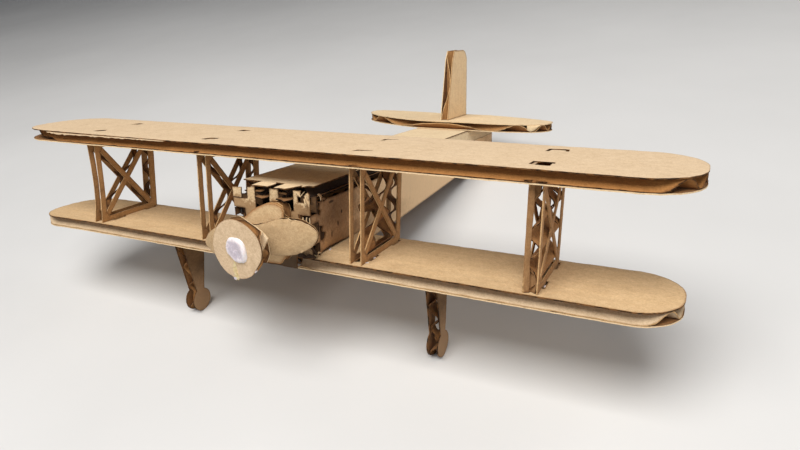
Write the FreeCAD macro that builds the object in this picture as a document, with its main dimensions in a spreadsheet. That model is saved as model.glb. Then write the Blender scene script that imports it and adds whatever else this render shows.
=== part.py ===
# Rubber-band-powered biplane made from single-wall corrugated card.
#
# Every board is drawn flat in its own body, thickness up Z and flutes along X, and then
# placed.  The flying frame has its datum on the top face of the upper wing at mid chord:
# Y towards the tail, Z up, wings level, and X to the right as seen from ahead of the nose,
# so parts called right stand at +X.  The whole aeroplane is then pitched nose-up so that it
# stands on both wheels and the tail, with Z = 0 on the ground and the origin under the
# middle of its bounding box.
import FreeCAD, Part
import Sketcher
import math
import os

V = FreeCAD.Vector
doc = FreeCAD.newDocument("rubber_band_plane")

# ---------------------------------------------------------------- driving dimensions
# alias, value in mm (angles in degrees), note
TABLE = [
    # card
    ("board_thickness", 4.0, "C-flute single wall card"),
    ("liner", 0.35, "outer paper faces"),
    ("medium", 0.35, "fluted paper between them"),
    ("flute_pitch", 7.9, "one full wave"),
    ("flute_flat", 1.0, "width glued to the liner"),
    # wings
    ("upper_span", 230.6, "tip to tip"),
    ("upper_chord", 31.0, "leading to trailing edge"),
    ("upper_lead", 15.4, "leading edge ahead of the datum"),
    ("upper_tip_radius", 14.0, "corner radius at the tips"),
    ("wing_gap", 28.17, "between the two wings"),
    ("lower_reach", 113.9, "centre line to lower tip"),
    ("lower_root", 8.1, "centre line to the root end"),
    ("lower_chord", 26.9, "leading to trailing edge"),
    ("lower_lead", 15.8, "leading edge ahead of the datum"),
    ("lower_tip_radius", 12.2, "corner radius at the tips"),
    # strut frames
    ("frame_inner", 27.9, "centre line to the inner frames"),
    ("frame_outer", 78.4, "centre line to the outer frames"),
    ("frame_lead", 13.1, "top of the front edge ahead of the datum"),
    ("frame_trail", 12.8, "top of the rear edge behind the datum"),
    ("frame_lead_low", 15.2, "foot of the front edge ahead of the datum"),
    ("frame_trail_low", 9.9, "foot of the rear edge behind the datum"),
    ("frame_post", 1.9, "width of the front post"),
    ("frame_rear_post", 2.6, "width of the rear post"),
    ("frame_bar", 1.8, "width of the bottom bar"),
    ("frame_top_bar", 1.6, "width of the top bar"),
    ("brace_width", 1.9, "width of the crossed braces"),
    ("tab_width", 4.4, "width of the tabs"),
    ("tab_height", 2.9, "how far a tab stands into a wing"),
    ("tab_spread", 8.0, "datum to each upper tab and to the front lower tab"),
    ("tab_aft_low", 6.5, "datum to the rear lower tab"),
    ("slot_width", 5.0, "slot length along the chord"),
    ("slot_breadth", 5.0, "slot length along the span"),
    # fuselage
    ("body_half", 14.0, "centre line to the outer side face"),
    ("side_front", 12.0, "front of the sides ahead of the datum"),
    ("body_tail", 153.0, "rear end behind the datum"),
    ("deck_half", 12.9, "half width of the deck"),
    ("deck_drop", 11.0, "deck top below the datum at the nose"),
    ("deck_slope", 0.028, "fall of the deck per length"),
    ("belly_rise", 0.033, "rise of the belly per length"),
    ("side_low", 36.9, "lowest edge of the sides"),
    ("side_tail_low", 30.9, "lower edge of the sides at the tail"),
    ("fit_gap", 0.2, "hand fitting clearance"),
    # tail
    ("stab_half", 48.0, "half span of the stabiliser"),
    ("stab_front", 116.5, "front edge at the centre"),
    ("stab_rear", 150.5, "rear edge at the centre"),
    ("fin_front", 120.5, "front of the fin at its foot"),
    ("fin_rear", 146.3, "rear of the fin"),
    ("fin_height", 31.9, "fin above the stabiliser"),
    ("fin_tip_radius", 6.0, "corner radius at the fin tip"),
    # undercarriage
    ("leg_station", 47.0, "centre line to each leg"),
    ("wheel_radius", 4.25, "round foot of each leg"),
    ("wheel_drop", 60.7, "foot centre below the datum"),
    ("leg_left_width", 11.5, "width of the left leg where it meets the wing"),
    ("leg_right_width", 9.4, "width of the right leg where it meets the wing"),
    ("leg_neck_width", 3.8, "width above the foot"),
    # propeller
    ("shaft_drop", 25.6, "shaft below the datum"),
    ("shaft_radius", 0.5, "steel wire"),
    ("tube_bore", 0.56, "bearing tube, inside radius"),
    ("tube_radius", 1.2, "bearing tube, outside radius"),
    ("prop_reach", 21.2, "shaft to blade tip"),
    ("prop_half_width", 5.4, "half width of a blade"),
    ("prop_tilt", 11.0, "blade angle at rest, degrees"),
    ("disc_radius", 8.7, "front hub disc"),
    ("hub_gap", 0.3, "running gap behind the propeller"),
    ("eye_radius", 2.2, "centre line radius of the hook eyes"),
    # rubber
    ("rubber_thick", 1.2, "strand thickness"),
    ("rubber_height", 1.6, "strand width"),
    # attitude on the ground
    ("ground_angle", 12.43, "nose-up angle standing on wheels and tail, degrees"),
    ("ground_drop", 63.11, "ground below the datum once pitched"),
    ("origin_aft", 53.03, "origin behind the datum once pitched"),
]


class Quantity:
    """A number that also carries the sheet formula it came from."""

    def __init__(self, value, formula=None):
        self.value = float(value)
        self.formula = formula if formula is not None else "%.6g" % self.value

    @staticmethod
    def of(x):
        return x if isinstance(x, Quantity) else Quantity(x)

    def __add__(self, other):
        other = Quantity.of(other)
        return Quantity(self.value + other.value, "(%s + %s)" % (self.formula, other.formula))

    def __sub__(self, other):
        other = Quantity.of(other)
        return Quantity(self.value - other.value, "(%s - (%s))" % (self.formula, other.formula))

    def __rsub__(self, other):
        return Quantity.of(other) - self

    def __mul__(self, other):
        other = Quantity.of(other)
        return Quantity(self.value * other.value, "(%s * %s)" % (self.formula, other.formula))

    def __truediv__(self, other):
        other = Quantity.of(other)
        return Quantity(self.value / other.value, "(%s / %s)" % (self.formula, other.formula))

    def __neg__(self):
        return Quantity(0) - self

    __radd__ = __add__
    __rmul__ = __mul__

    @property
    def driven(self):
        return "dims." in self.formula


class Dimensions:
    """The rows of the sheet, read as dims.alias just as in a sheet formula."""


sheet = doc.addObject("Spreadsheet::Sheet", "dims")
sheet.Label = "dims"
dims = Dimensions()
for row, (alias, value, note) in enumerate(TABLE, start=1):
    sheet.set("A%d" % row, alias)
    sheet.set("B%d" % row, "%.6g" % value)
    sheet.setAlias("B%d" % row, alias)
    sheet.set("C%d" % row, note)
    setattr(dims, alias, Quantity(value, "dims.%s" % alias))
doc.recompute()


def num(x):
    return Quantity.of(x).value


def set_driven(obj, prop, value):
    """Set a property, bound to the sheet where the value has a formula."""
    value = Quantity.of(value)
    setattr(obj, prop, value.value)
    if value.driven:
        obj.setExpression(prop, value.formula)


# ---------------------------------------------------------------- placing
ON_GROUND = FreeCAD.Placement(
    V(0, -num(dims.origin_aft), num(dims.ground_drop)),
    FreeCAD.Rotation(V(1, 0, 0), -num(dims.ground_angle)))


def vector(coordinates):
    return V(*[num(c) for c in coordinates])


def shifted(x, y, z):
    return FreeCAD.Placement(V(x, y, z), FreeCAD.Rotation())


def place(obj, origin, along=(1, 0, 0), across=(0, 1, 0)):
    """Put an object whose X runs along 'along' and whose Y runs along 'across',
    both given in the flying frame."""
    x_axis = vector(along).normalize()
    y_axis = vector(across).normalize()
    turn = FreeCAD.Rotation(x_axis, y_axis, x_axis.cross(y_axis), "XYZ")
    obj.Placement = ON_GROUND.multiply(FreeCAD.Placement(vector(origin), turn))


# ---------------------------------------------------------------- sketches
def new_sketch(body, name, role="XY_Plane"):
    sketch = body.newObject("Sketcher::SketchObject", name)
    plane = next(f for f in body.Origin.OriginFeatures if f.Role == role)
    sketch.AttachmentSupport = [(plane, "")]
    sketch.MapMode = "FlatFace"
    return sketch


def constrain(sketch, value, *arguments):
    """Add a dimension, driven by the sheet where the value has a formula."""
    index = sketch.addConstraint(Sketcher.Constraint(*arguments, value.value))
    if value.driven:
        sketch.setExpression("Constraints[%d]" % index, value.formula)


def hold_point(sketch, geometry, position, x, y):
    """Hold a point from the sketch origin; a zero coordinate ties it to the axis."""
    for kind, value, axis in (("DistanceX", x, -2), ("DistanceY", y, -1)):
        value = Quantity.of(value)
        if abs(value.value) < 1e-9:
            sketch.addConstraint(
                Sketcher.Constraint("PointOnObject", geometry, position, axis))
        else:
            constrain(sketch, value, kind, -1, 1, geometry, position)


def add_polygon(sketch, points):
    count = len(points)
    base = sketch.GeometryCount
    corners = [V(num(x), num(y), 0) for x, y in points]
    for i in range(count):
        sketch.addGeometry(Part.LineSegment(corners[i], corners[(i + 1) % count]), False)
    for i in range(count):
        sketch.addConstraint(
            Sketcher.Constraint("Coincident", base + i, 2, base + (i + 1) % count, 1))
    for i, (x, y) in enumerate(points):
        hold_point(sketch, base + i, 1, x, y)


def add_circle(sketch, x, y, radius):
    radius = Quantity.of(radius)
    circle = Part.Circle(V(num(x), num(y), 0), V(0, 0, 1), radius.value)
    index = sketch.addGeometry(circle, False)
    hold_point(sketch, index, 3, x, y)
    constrain(sketch, radius, "Radius", index)


def rect(x0, y0, x1, y1):
    return [(x0, y0), (x1, y0), (x1, y1), (x0, y1)]


# ---------------------------------------------------------------- card boards
thick = dims.board_thickness
FLUTE_END_MARGIN = 0.7       # a flute needs this much board beyond its start


def new_body(label):
    body = doc.addObject("PartDesign::Body", label)
    body.Label = label
    body.AllowCompound = True
    return body


def pad(body, sketch, name="Board"):
    """Raise a sketch by one board thickness."""
    feature = body.newObject("PartDesign::Pad", name)
    feature.Profile = sketch
    set_driven(feature, "Length", thick)
    sketch.Visibility = False
    body.Tip = feature
    doc.recompute()


def pocket(body, sketch, name):
    """Cut straight through, on both sides of the sketch."""
    before = body.Shape.Volume
    feature = body.newObject("PartDesign::Pocket", name)
    feature.Profile = sketch
    feature.Type = "ThroughAll"
    feature.Midplane = True
    sketch.Visibility = False
    body.Tip = feature
    doc.recompute()
    if not body.Shape.Volume < before - 1e-6:
        raise RuntimeError("%s removed nothing from %s" % (name, body.Label))
    return feature


def fillet_corners(body, corners, radius):
    """Round the upright edges of the padded board that stand at the given corners."""
    board = body.Tip
    names = []
    for i, edge in enumerate(board.Shape.Edges, start=1):
        if len(edge.Vertexes) != 2:
            continue
        start, end = [vertex.Point for vertex in edge.Vertexes]
        level = abs(start.z - end.z) < 1e-6
        if abs(start.x - end.x) > 1e-6 or abs(start.y - end.y) > 1e-6 or level:
            continue
        for x, y in corners:
            if abs(start.x - num(x)) < 1e-4 and abs(start.y - num(y)) < 1e-4:
                names.append("Edge%d" % i)
    feature = body.newObject("PartDesign::Fillet", "Corners")
    feature.Base = (board, names)
    set_driven(feature, "Radius", radius)
    body.Tip = feature
    doc.recompute()


def flutes(body, start, end, first):
    """Open the card between 'start' and 'end' (body Y): one wave of two trapezoid
    flutes, repeated at the flute pitch.  The first valley lies 'first' past the start."""
    pitch, flat, medium = dims.flute_pitch, dims.flute_flat, dims.medium
    rise = num(thick) - 2 * num(dims.liner) - num(medium)
    lean = math.atan2(rise, num(pitch) / 2 - num(flat))
    # share of the medium's thickness that its lean adds to the flat
    spread = round((1 / math.sin(lean) - 1 / math.tan(lean)) / 2, 6)
    wide = flat / 2 + medium * spread
    narrow = pitch / 2 - flat / 2 + medium * spread
    valley = Quantity.of(start) + first
    liner_low, liner_high = dims.liner, thick - dims.liner
    medium_low, medium_high = liner_low + medium, thick - dims.liner - medium
    sketch = new_sketch(body, "FluteProfile", "YZ_Plane")
    # under the crest, open to the lower liner
    add_polygon(sketch, [(valley + wide, liner_low), (valley + pitch - wide, liner_low),
                         (valley + pitch - narrow, medium_high),
                         (valley + narrow, medium_high)])
    # over the valley, open to the upper liner
    add_polygon(sketch, [(valley - pitch / 2 + wide, liner_high),
                         (valley - pitch / 2 + narrow, medium_low),
                         (valley + pitch / 2 - narrow, medium_low),
                         (valley + pitch / 2 - wide, liner_high)])
    cut = pocket(body, sketch, "Flute")
    room = num(end) - num(valley) + num(pitch) / 2 - FLUTE_END_MARGIN
    count = int(math.floor(room / num(pitch))) + 1
    if count > 1:
        pattern = body.newObject("PartDesign::LinearPattern", "Flutes")
        pattern.Originals = [cut]
        pattern.Direction = (sketch, ["H_Axis"])
        pattern.Occurrences = count
        set_driven(pattern, "Length", pitch * (count - 1))
        body.Tip = pattern
        doc.recompute()


def card(label, outline, span, first, corners=None, radius=None, cuts=(), circles=(),
         add_on=None):
    """One cut board: outline, rounded corners, any added shape, flutes over the span,
    then the polygon cuts and the round holes (x, y, radius)."""
    body = new_body(label)
    sketch = new_sketch(body, "Outline")
    add_polygon(sketch, outline)
    doc.recompute()
    pad(body, sketch)
    if corners:
        fillet_corners(body, corners, radius)
    if add_on is not None:
        add_on(body)
    flutes(body, span[0], span[1], first)
    if cuts or circles:
        openings = new_sketch(body, "Openings")
        for polygon in cuts:
            add_polygon(openings, polygon)
        for x, y, hole_radius in circles:
            add_circle(openings, x, y, hole_radius)
        doc.recompute()
        pocket(body, openings, "Openings")
    return body


# ---------------------------------------------------------------- wings
upper_under = -thick
lower_top = upper_under - dims.wing_gap
lower_under = lower_top - thick
lower_front = -dims.lower_lead
lower_rear = dims.lower_chord - dims.lower_lead


def slots(stations, chordwise):
    half_x, half_y = dims.slot_breadth / 2, dims.slot_width / 2
    return [rect(x - half_x, y - half_y, x + half_x, y + half_y)
            for x in stations for y in chordwise]


def upper_wing():
    half_span = dims.upper_span / 2
    front, rear = -dims.upper_lead, dims.upper_chord - dims.upper_lead
    outline = rect(-half_span, front, half_span, rear)
    stations = [-dims.frame_outer, -dims.frame_inner, dims.frame_inner, dims.frame_outer]
    body = card("upper_wing", outline, (front, rear), first=0.6,
                corners=outline, radius=dims.upper_tip_radius,
                cuts=slots(stations, [-dims.tab_spread, dims.tab_spread]))
    place(body, (0, 0, upper_under))
    return body


def lower_wing(label, side):
    """One lower wing; side is -1 for left, 1 for right."""
    root, tip = dims.lower_root * side, dims.lower_reach * side
    low_x, high_x = (root, tip) if side > 0 else (tip, root)
    body = card(label, rect(low_x, lower_front, high_x, lower_rear),
                (lower_front, lower_rear), first=0.6,
                corners=[(tip, lower_front), (tip, lower_rear)],
                radius=dims.lower_tip_radius,
                cuts=slots([dims.frame_inner * side, dims.frame_outer * side],
                           [-dims.tab_spread, dims.tab_aft_low]))
    place(body, (0, 0, lower_under))
    return body


# ---------------------------------------------------------------- strut frames
def tab(centre, half, root, end):
    return [(centre - half, root), (centre - half, end),
            (centre + half, end), (centre + half, root)]


def frame_outline():
    """Outline in (Y, Z), from the foot of the front edge."""
    half, height = dims.tab_width / 2, dims.tab_height
    low_end, high_end = lower_top - height, upper_under + height
    return ([(-dims.frame_lead_low, lower_top)]
            + tab(-dims.tab_spread, half, lower_top, low_end)
            + tab(dims.tab_aft_low, half, lower_top, low_end)
            + [(dims.frame_trail_low, lower_top), (dims.frame_trail, upper_under)]
            + tab(dims.tab_spread, -half, upper_under, high_end)
            + tab(-dims.tab_spread, -half, upper_under, high_end)
            + [(-dims.frame_lead, upper_under)])


def frame_cuts():
    """The four openings, in (Y, Z), that leave the posts, bars and crossed braces."""
    front_top, rear_top = -dims.frame_lead, dims.frame_trail
    front_foot, rear_foot = -dims.frame_lead_low, dims.frame_trail_low
    bottom, top = lower_top + dims.frame_bar, upper_under - dims.frame_top_bar
    rise = num(top - bottom)
    total = num(upper_under - lower_top)
    low = round(num(bottom - lower_top) / total, 6)
    high = round(num(top - lower_top) / total, 6)

    # corners of the whole opening, inside the raked posts
    front_low = front_foot + (front_top - front_foot) * low + dims.frame_post
    front_high = front_foot + (front_top - front_foot) * high + dims.frame_post
    rear_low = rear_foot + (rear_top - rear_foot) * low - dims.frame_rear_post
    rear_high = rear_foot + (rear_top - rear_foot) * high - dims.frame_rear_post

    # how far each line runs aft over the height of the opening
    aft_run = num(rear_high - front_low)          # brace that rises towards the tail
    fore_run = num(front_high - rear_low)         # brace that rises towards the nose
    front_run = num(front_high - front_low)
    rear_run = num(rear_high - rear_low)
    closing = aft_run - fore_run

    def level_half(run):
        """Half the width of a brace, measured level."""
        return dims.brace_width / 2 * round(math.hypot(run, rise) / rise, 6)

    aft_half, fore_half = level_half(aft_run), level_half(fore_run)

    def at(share, start, run):
        """Point at a share of the height on a line from 'start' at the bottom."""
        share = Quantity(round(num(share), 6))
        return (start + share * round(run, 6), bottom + (top - bottom) * share)

    behind, ahead = front_low + aft_half, front_low - aft_half   # aft-rising brace's edges
    lower = [(behind, bottom), (rear_low - fore_half, bottom),
             at((rear_low - fore_half - behind) / closing, behind, aft_run)]
    upper = [(rear_high - aft_half, top), (front_high + fore_half, top),
             at((rear_low + fore_half - ahead) / closing, ahead, aft_run)]
    front = [at(aft_half / (aft_run - front_run), front_low, front_run),
             at((rear_low - fore_half - ahead) / closing, ahead, aft_run),
             at((rear_low - fore_half - front_low) / (front_run - fore_run),
                front_low, front_run)]
    rear = [at(fore_half / (rear_run - fore_run), rear_low, rear_run),
            at((rear_low - behind) / (aft_run - rear_run), rear_low, rear_run),
            at((rear_low + fore_half - behind) / closing, behind, aft_run)]
    return [lower, upper, front, rear]


def strut_frame(label, station):
    """Raked frame: its foot stands further forward than its head."""
    span = (lower_top - dims.tab_height, upper_under + dims.tab_height)
    body = card(label, frame_outline(), span, first=2.2, cuts=frame_cuts())
    place(body, (station - thick / 2, 0, 0), (0, 1, 0), (0, 0, 1))
    return body


# ---------------------------------------------------------------- fuselage
EDGE_FIT = 0.05              # clearance beside the deck, belly and rear former
HOLE_FIT = 0.05              # clearance around a wire or tube
ROOT_FIT = 0.1               # clearance between belly and lower wings

# fingers at the front of each side, as (top, bottom) below the datum
FINGERS = [(19.2, 21.7), (25.7, 28.2)]
# lower edge of the sides, as (Y, height above the lowest edge)
SIDE_LOW_POINTS = [(98.0, 3.2), (43.5, 0.5)]
SIDE_LIP = 2.05              # outer lip above the underside of the deck
REBATE_HEIGHT = 40           # reaches clear of the board

DECK_TABS = [(-5.4, -0.4), (3.2, 8.0)]       # X ranges
DECK_TAB_REACH = 1.5         # tabs ahead of the nose plate

NOSE_TOP = -12.1             # Z of the top edge at the right corner
# steps of the top edge from right to left, as (X, Z after the step)
NOSE_STEPS = [(12.2, -15.2), (10.7, -12.1), (8.25, -18.0), (3.0, -11.9),
              (-0.15, -18.4), (-5.6, -12.0), (-8.2, -15.9), (-10.7, -12.5)]

# hand-cut bearing plate, as (X, height above the shaft)
BEARING_OUTLINE = [(-8.4, -1), (-8.0, 3.2), (-6.7, 5.3), (-2.6, 8.3), (1.3, 10.1),
                   (4.9, 10.4), (6.9, 9.7), (7.6, 8.2), (7.6, -5.0), (5.2, -8.2),
                   (-3.6, -8.4), (-7.2, -5.6)]

FORMER_FRONT = 147.0         # Y of the rear former's front face
FORMER_FIT = 0.02            # clearance above and below the rear former
HOOK_Z = -23.3               # tail hook wire

nose_back = -dims.side_front
nose_front = nose_back - thick
bearing_front = nose_front - thick
tail = dims.body_tail
slope = dims.deck_slope
slope_angle = math.atan(num(slope))
side_in, side_out = dims.body_half - thick, dims.body_half
inside_half = side_in - EDGE_FIT
root_half = dims.lower_root - ROOT_FIT
wing_clear = lower_rear + dims.fit_gap       # just behind the lower wings
former_back = FORMER_FRONT + thick
shaft_z = -dims.shaft_drop


def deck_top(y):
    return -dims.deck_drop - slope * (Quantity.of(y) - nose_front)


def deck_under(y):
    return deck_top(y) - thick


def belly_under(y):
    return lower_under + dims.belly_rise * (Quantity.of(y) - nose_back)


def side_outline():
    """Outline in (Z, -Y), from the lower front corner."""
    points = [(lower_top, -nose_back)]
    for top, bottom in reversed(FINGERS):
        points += [(-bottom, -nose_back), (-bottom, -nose_front),
                   (-top, -nose_front), (-top, -nose_back)]
    points += [(deck_under(nose_back) + SIDE_LIP, -nose_back),
               (deck_under(tail) + SIDE_LIP, -tail),
               (-dims.side_tail_low, -tail)]
    points += [(-dims.side_low + height, -y) for y, height in SIDE_LOW_POINTS]
    return points + [(-dims.side_low, -wing_clear), (lower_top, -wing_clear)]


def rebate_side(body, side):
    """Cut the top of the side down to the deck's underside, leaving an outer lip."""
    lip_thickness = side_out - dims.deck_half - EDGE_FIT
    if side > 0:
        inner, lip_face = Quantity(-1), thick - lip_thickness
    else:
        inner, lip_face = thick + 1, lip_thickness
    sketch = new_sketch(body, "Rebate", "YZ_Plane")
    rear, front = -tail - 2, -nose_front + 2
    add_polygon(sketch, [(rear, inner), (front, inner), (front, lip_face), (rear, lip_face)])
    doc.recompute()
    rebate = body.newObject("PartDesign::Pocket", "Rebate")
    rebate.Profile = sketch
    rebate.Type = "Length"
    rebate.Length = REBATE_HEIGHT
    rebate.Reversed = True
    sketch.Visibility = False
    # the cut starts at the deck's underside, which falls towards the tail
    sketch.AttachmentOffset = FreeCAD.Placement(
        V(0, 0, num(deck_under(0))),
        FreeCAD.Rotation(V(0, 1, 0), -math.degrees(slope_angle)))
    body.Tip = rebate
    doc.recompute()


def fuselage_side(label, side):
    body = card(label, side_outline(), (-tail, -nose_front), first=0.4)
    rebate_side(body, side)
    place(body, (side_in if side > 0 else -side_out, 0, 0), (0, 0, 1), (0, -1, 0))
    return body


def deck():
    """Lies on both sides; two tabs stand out through the nose plate."""
    half = dims.deck_half
    front, tab_front = dims.fit_gap * 0.5, -thick - DECK_TAB_REACH
    rear = (tail - nose_back) / round(math.cos(slope_angle), 6)
    points = [(front, half)]
    for x0, x1 in DECK_TABS:
        points += [(front, -x0), (tab_front, -x0), (tab_front, -x1), (front, -x1)]
    points += [(front, -half), (rear, -half), (rear, half)]
    body = card("deck", points, (-half, half), first=1.0)
    place(body, (0, nose_back, deck_under(nose_back)), (0, 1, -slope), (-1, 0, 0))
    return body


def belly_plate():
    """Narrow between the wing roots, wider between the sides behind them."""
    front = dims.fit_gap
    step = wing_clear + ROOT_FIT - nose_back
    rear = former_back - nose_back
    points = [(front, root_half), (front, -root_half), (step, -root_half),
              (step, -inside_half), (rear, -inside_half), (rear, inside_half),
              (step, inside_half), (step, root_half)]
    body = card("belly_plate", points, (-inside_half, inside_half), first=1.6)
    place(body, (0, nose_back, belly_under(nose_back)), (0, 1, dims.belly_rise), (-1, 0, 0))
    return body


def nose_edge(side):
    """Outer edge of one half in (X, Z), from the foot upwards, notched for the fingers."""
    gap = dims.fit_gap
    outer, inner = side_out * side, (side_in - gap) * side
    points = [(outer, lower_top)]
    for top, bottom in reversed(FINGERS):
        points += [(outer, -bottom - gap), (inner, -bottom - gap),
                   (inner, gap - top), (outer, gap - top)]
    return points


def nose_plate():
    """Finger notches at both edges, a battlement along the top, a narrow foot below."""
    level = NOSE_TOP
    battlement = [(side_out, level)]
    for x, next_level in NOSE_STEPS:
        battlement += [(x, level), (x, next_level)]
        level = next_level
    battlement.append((-side_out, level))
    foot = [(-root_half, lower_top), (-root_half, lower_under),
            (root_half, lower_under), (root_half, lower_top)]
    points = nose_edge(1) + battlement + nose_edge(-1)[::-1] + foot
    body = card("nose_plate", points, (lower_under, NOSE_TOP), first=0.4,
                circles=[(0, shaft_z, dims.tube_radius + HOLE_FIT)])
    place(body, (0, nose_back, 0), (1, 0, 0), (0, 0, 1))
    return body


def bearing_plate():
    """Doubler on the front of the nose plate that carries the bearing tube."""
    # the board's X runs to the left, so X and the order of the points are reversed
    points = [(-x, shaft_z + height) for x, height in BEARING_OUTLINE][::-1]
    heights = [height for _, height in BEARING_OUTLINE]
    span = (shaft_z + min(heights), shaft_z + max(heights))
    body = card("bearing_plate", points, span, first=1.0,
                circles=[(0, shaft_z, dims.tube_radius + HOLE_FIT)])
    place(body, (0, bearing_front, 0), (-1, 0, 0), (0, 0, 1))
    return body


def rear_former():
    """Closes the tail between deck and belly and holds the tail hook."""
    low = belly_under(former_back) + thick + FORMER_FIT
    high = deck_under(former_back) - FORMER_FIT
    body = card("rear_former", rect(-inside_half, low, inside_half, high), (low, high),
                first=0.9, circles=[(0, HOOK_Z, dims.shaft_radius + HOLE_FIT)])
    place(body, (0, former_back, 0), (1, 0, 0), (0, 0, 1))
    return body


# ---------------------------------------------------------------- tail surfaces
GLUE_LINE = 0.012
STAB_TIP_SHARE = 0.66        # chordwise station of the tips, from front to rear
# edges of the stabiliser: steps from tip to tip, exponent of the oval
STAB_REAR_STEPS, STAB_REAR_POWER = 12, 0.62
STAB_FRONT_STEPS, STAB_FRONT_POWER = 16, 0.86
FIN_SHOULDER_AFT, FIN_SHOULDER_DROP = 6.2, 4.5   # from the foot's front, from the top
FIN_TOP_AFT = 8.6            # front of the top edge, from the foot's front


def oval_point(angle, power):
    """Shares of the half span and of the depth of an oval edge."""
    return round(math.cos(angle), 6), round(abs(math.sin(angle)) ** power, 6)


def stabiliser():
    half, front, rear = dims.stab_half, dims.stab_front, dims.stab_rear
    tips = front + (rear - front) * STAB_TIP_SHARE
    points = []
    for i in range(STAB_REAR_STEPS + 1):              # rear edge, right tip to left tip
        across, depth = oval_point(math.pi * i / STAB_REAR_STEPS, STAB_REAR_POWER)
        points.append((half * across, tips + (rear - tips) * depth - front))
    for i in range(1, STAB_FRONT_STEPS):              # front edge, left tip to right tip
        angle = math.pi + math.pi * i / STAB_FRONT_STEPS
        across, depth = oval_point(angle, STAB_FRONT_POWER)
        points.append((half * across, tips - (tips - front) * depth - front))
    body = card("stabiliser", points, (0, rear - front), first=2.9)
    place(body, (0, front, deck_top(front) + GLUE_LINE), (1, 0, 0), (0, 1, -slope))
    return body


def fin():
    """Upright board on the stabiliser, outline in (Z, -Y)."""
    def foot(y):
        return deck_top(y) + thick + GLUE_LINE * 3

    front, rear = dims.fin_front, dims.fin_rear
    top = foot(front) + dims.fin_height
    shoulder = (top - FIN_SHOULDER_DROP, -(front + FIN_SHOULDER_AFT))
    points = [(foot(front), -front), shoulder, (top, -(front + FIN_TOP_AFT)),
              (top, -rear), (foot(rear), -rear)]
    body = card("fin", points, (-rear, -front), first=2.4,
                corners=[(top, -rear), shoulder], radius=dims.fin_tip_radius)
    place(body, (-thick / 2, 0, 0), (0, 0, 1), (0, -1, 0))
    return body


# ---------------------------------------------------------------- undercarriage
NECK_AHEAD = 0.55            # share of the neck ahead of the foot centre
NECK_RISE = 0.75             # neck above the foot centre, in wheel radii


def leg(label, side, foot_y, drop, width, ahead):
    """Tapered leg with a round foot; 'ahead' is the share of its top ahead of foot_y."""
    radius, neck = dims.wheel_radius, dims.leg_neck_width
    foot_z = -drop
    neck_z = foot_z + radius * NECK_RISE
    points = [(foot_y - width * ahead, lower_under), (foot_y - neck * NECK_AHEAD, neck_z),
              (foot_y + neck * (1 - NECK_AHEAD), neck_z),
              (foot_y + width * (1 - ahead), lower_under)]

    def add_wheel(body):
        sketch = new_sketch(body, "Wheel")
        add_circle(sketch, foot_y, foot_z, radius)
        doc.recompute()
        pad(body, sketch, "Wheel")

    body = card(label, points, (foot_z - radius, lower_under), first=1.5, add_on=add_wheel)
    place(body, (dims.leg_station * side - thick / 2, 0, 0), (0, 1, 0), (0, 0, 1))
    return body


# ---------------------------------------------------------------- propeller
# quarter of the blades, as (share of the reach, share of the half width)
BLADE_SHAPE = [(0.0, 0.80), (0.16, 0.86), (0.32, 0.97), (0.48, 1.0), (0.62, 0.95),
               (0.76, 0.80), (0.87, 0.60), (0.95, 0.36), (1.0, 0.0)]
# hand-cut spacer about the shaft, as (x, y) on the board
SPACER_OUTLINE = [(6.6, -3.4), (6.9, 3.6), (4.6, 5.9), (-4.4, 6.2), (-6.6, 3.8),
                  (-6.8, -3.2), (-4.2, -6.0), (4.0, -5.8)]
SPACER_ANGLE = 20            # degrees
DISC_ANGLE = -30
shaft_hole = dims.shaft_radius + HOLE_FIT
prop_rear = bearing_front - dims.hub_gap
disc_front = prop_rear - thick * 3


def place_on_shaft(body, rear, degrees):
    """Board across the shaft, its thickness ahead of 'rear', turned about the shaft."""
    angle = math.radians(degrees)
    place(body, (0, rear, shaft_z), (math.cos(angle), 0, math.sin(angle)),
          (-math.sin(angle), 0, math.cos(angle)))


def propeller_blades():
    reach, half = dims.prop_reach, dims.prop_half_width
    points = [(reach * a, half * b) for a, b in BLADE_SHAPE[::-1]]
    points += [(-reach * a, half * b) for a, b in BLADE_SHAPE[1:]]
    points += [(-reach * a, -half * b) for a, b in BLADE_SHAPE[:-1][::-1]]
    points += [(reach * a, -half * b) for a, b in BLADE_SHAPE[1:-1]]
    body = card("propeller_blades", points, (-half, half), first=1.4,
                circles=[(0, 0, shaft_hole)])
    place_on_shaft(body, prop_rear, num(dims.prop_tilt))
    return body


def hub_spacer():
    heights = [y for _, y in SPACER_OUTLINE]
    body = card("hub_spacer", SPACER_OUTLINE, (min(heights), max(heights)), first=1.2,
                circles=[(0, 0, shaft_hole)])
    place_on_shaft(body, prop_rear - thick, SPACER_ANGLE)
    return body


def hub_disc():
    body = new_body("hub_disc")
    outline = new_sketch(body, "Outline")
    add_circle(outline, 0, 0, dims.disc_radius)
    doc.recompute()
    pad(body, outline)
    flutes(body, -dims.disc_radius, dims.disc_radius, first=0.5)
    hole = new_sketch(body, "ShaftHole")
    add_circle(hole, 0, 0, shaft_hole)
    doc.recompute()
    pocket(body, hole, "ShaftHole")
    place_on_shaft(body, prop_rear - thick * 2, DISC_ANGLE)
    return body


# ---------------------------------------------------------------- wire, glue and tube
EYE_SWEEP = 310              # degrees of the ring that are closed
WIRE_IN_GLUE = 1.1           # wire ahead of the disc
SHAFT_BEHIND_NOSE = 4.0      # straight wire behind the nose plate
GLUE_DEPTH, GLUE_HALF_X, GLUE_HALF_Y = 2.3, 3.35, 3.5    # radii of the blob
GLUE_LEFT = 0.15             # blob centre to the left of the shaft
GLUE_TRIM = 6                # half width and height of the block that trims the blob
TUBE_AHEAD = 0.2             # tube ahead of the bearing plate
TUBE_BEHIND = 1.0            # tube behind the nose plate
HOOK_LENGTH = 9.0            # straight wire of the tail hook
HOOK_BEHIND = 1.0            # its end behind the rear former

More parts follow.
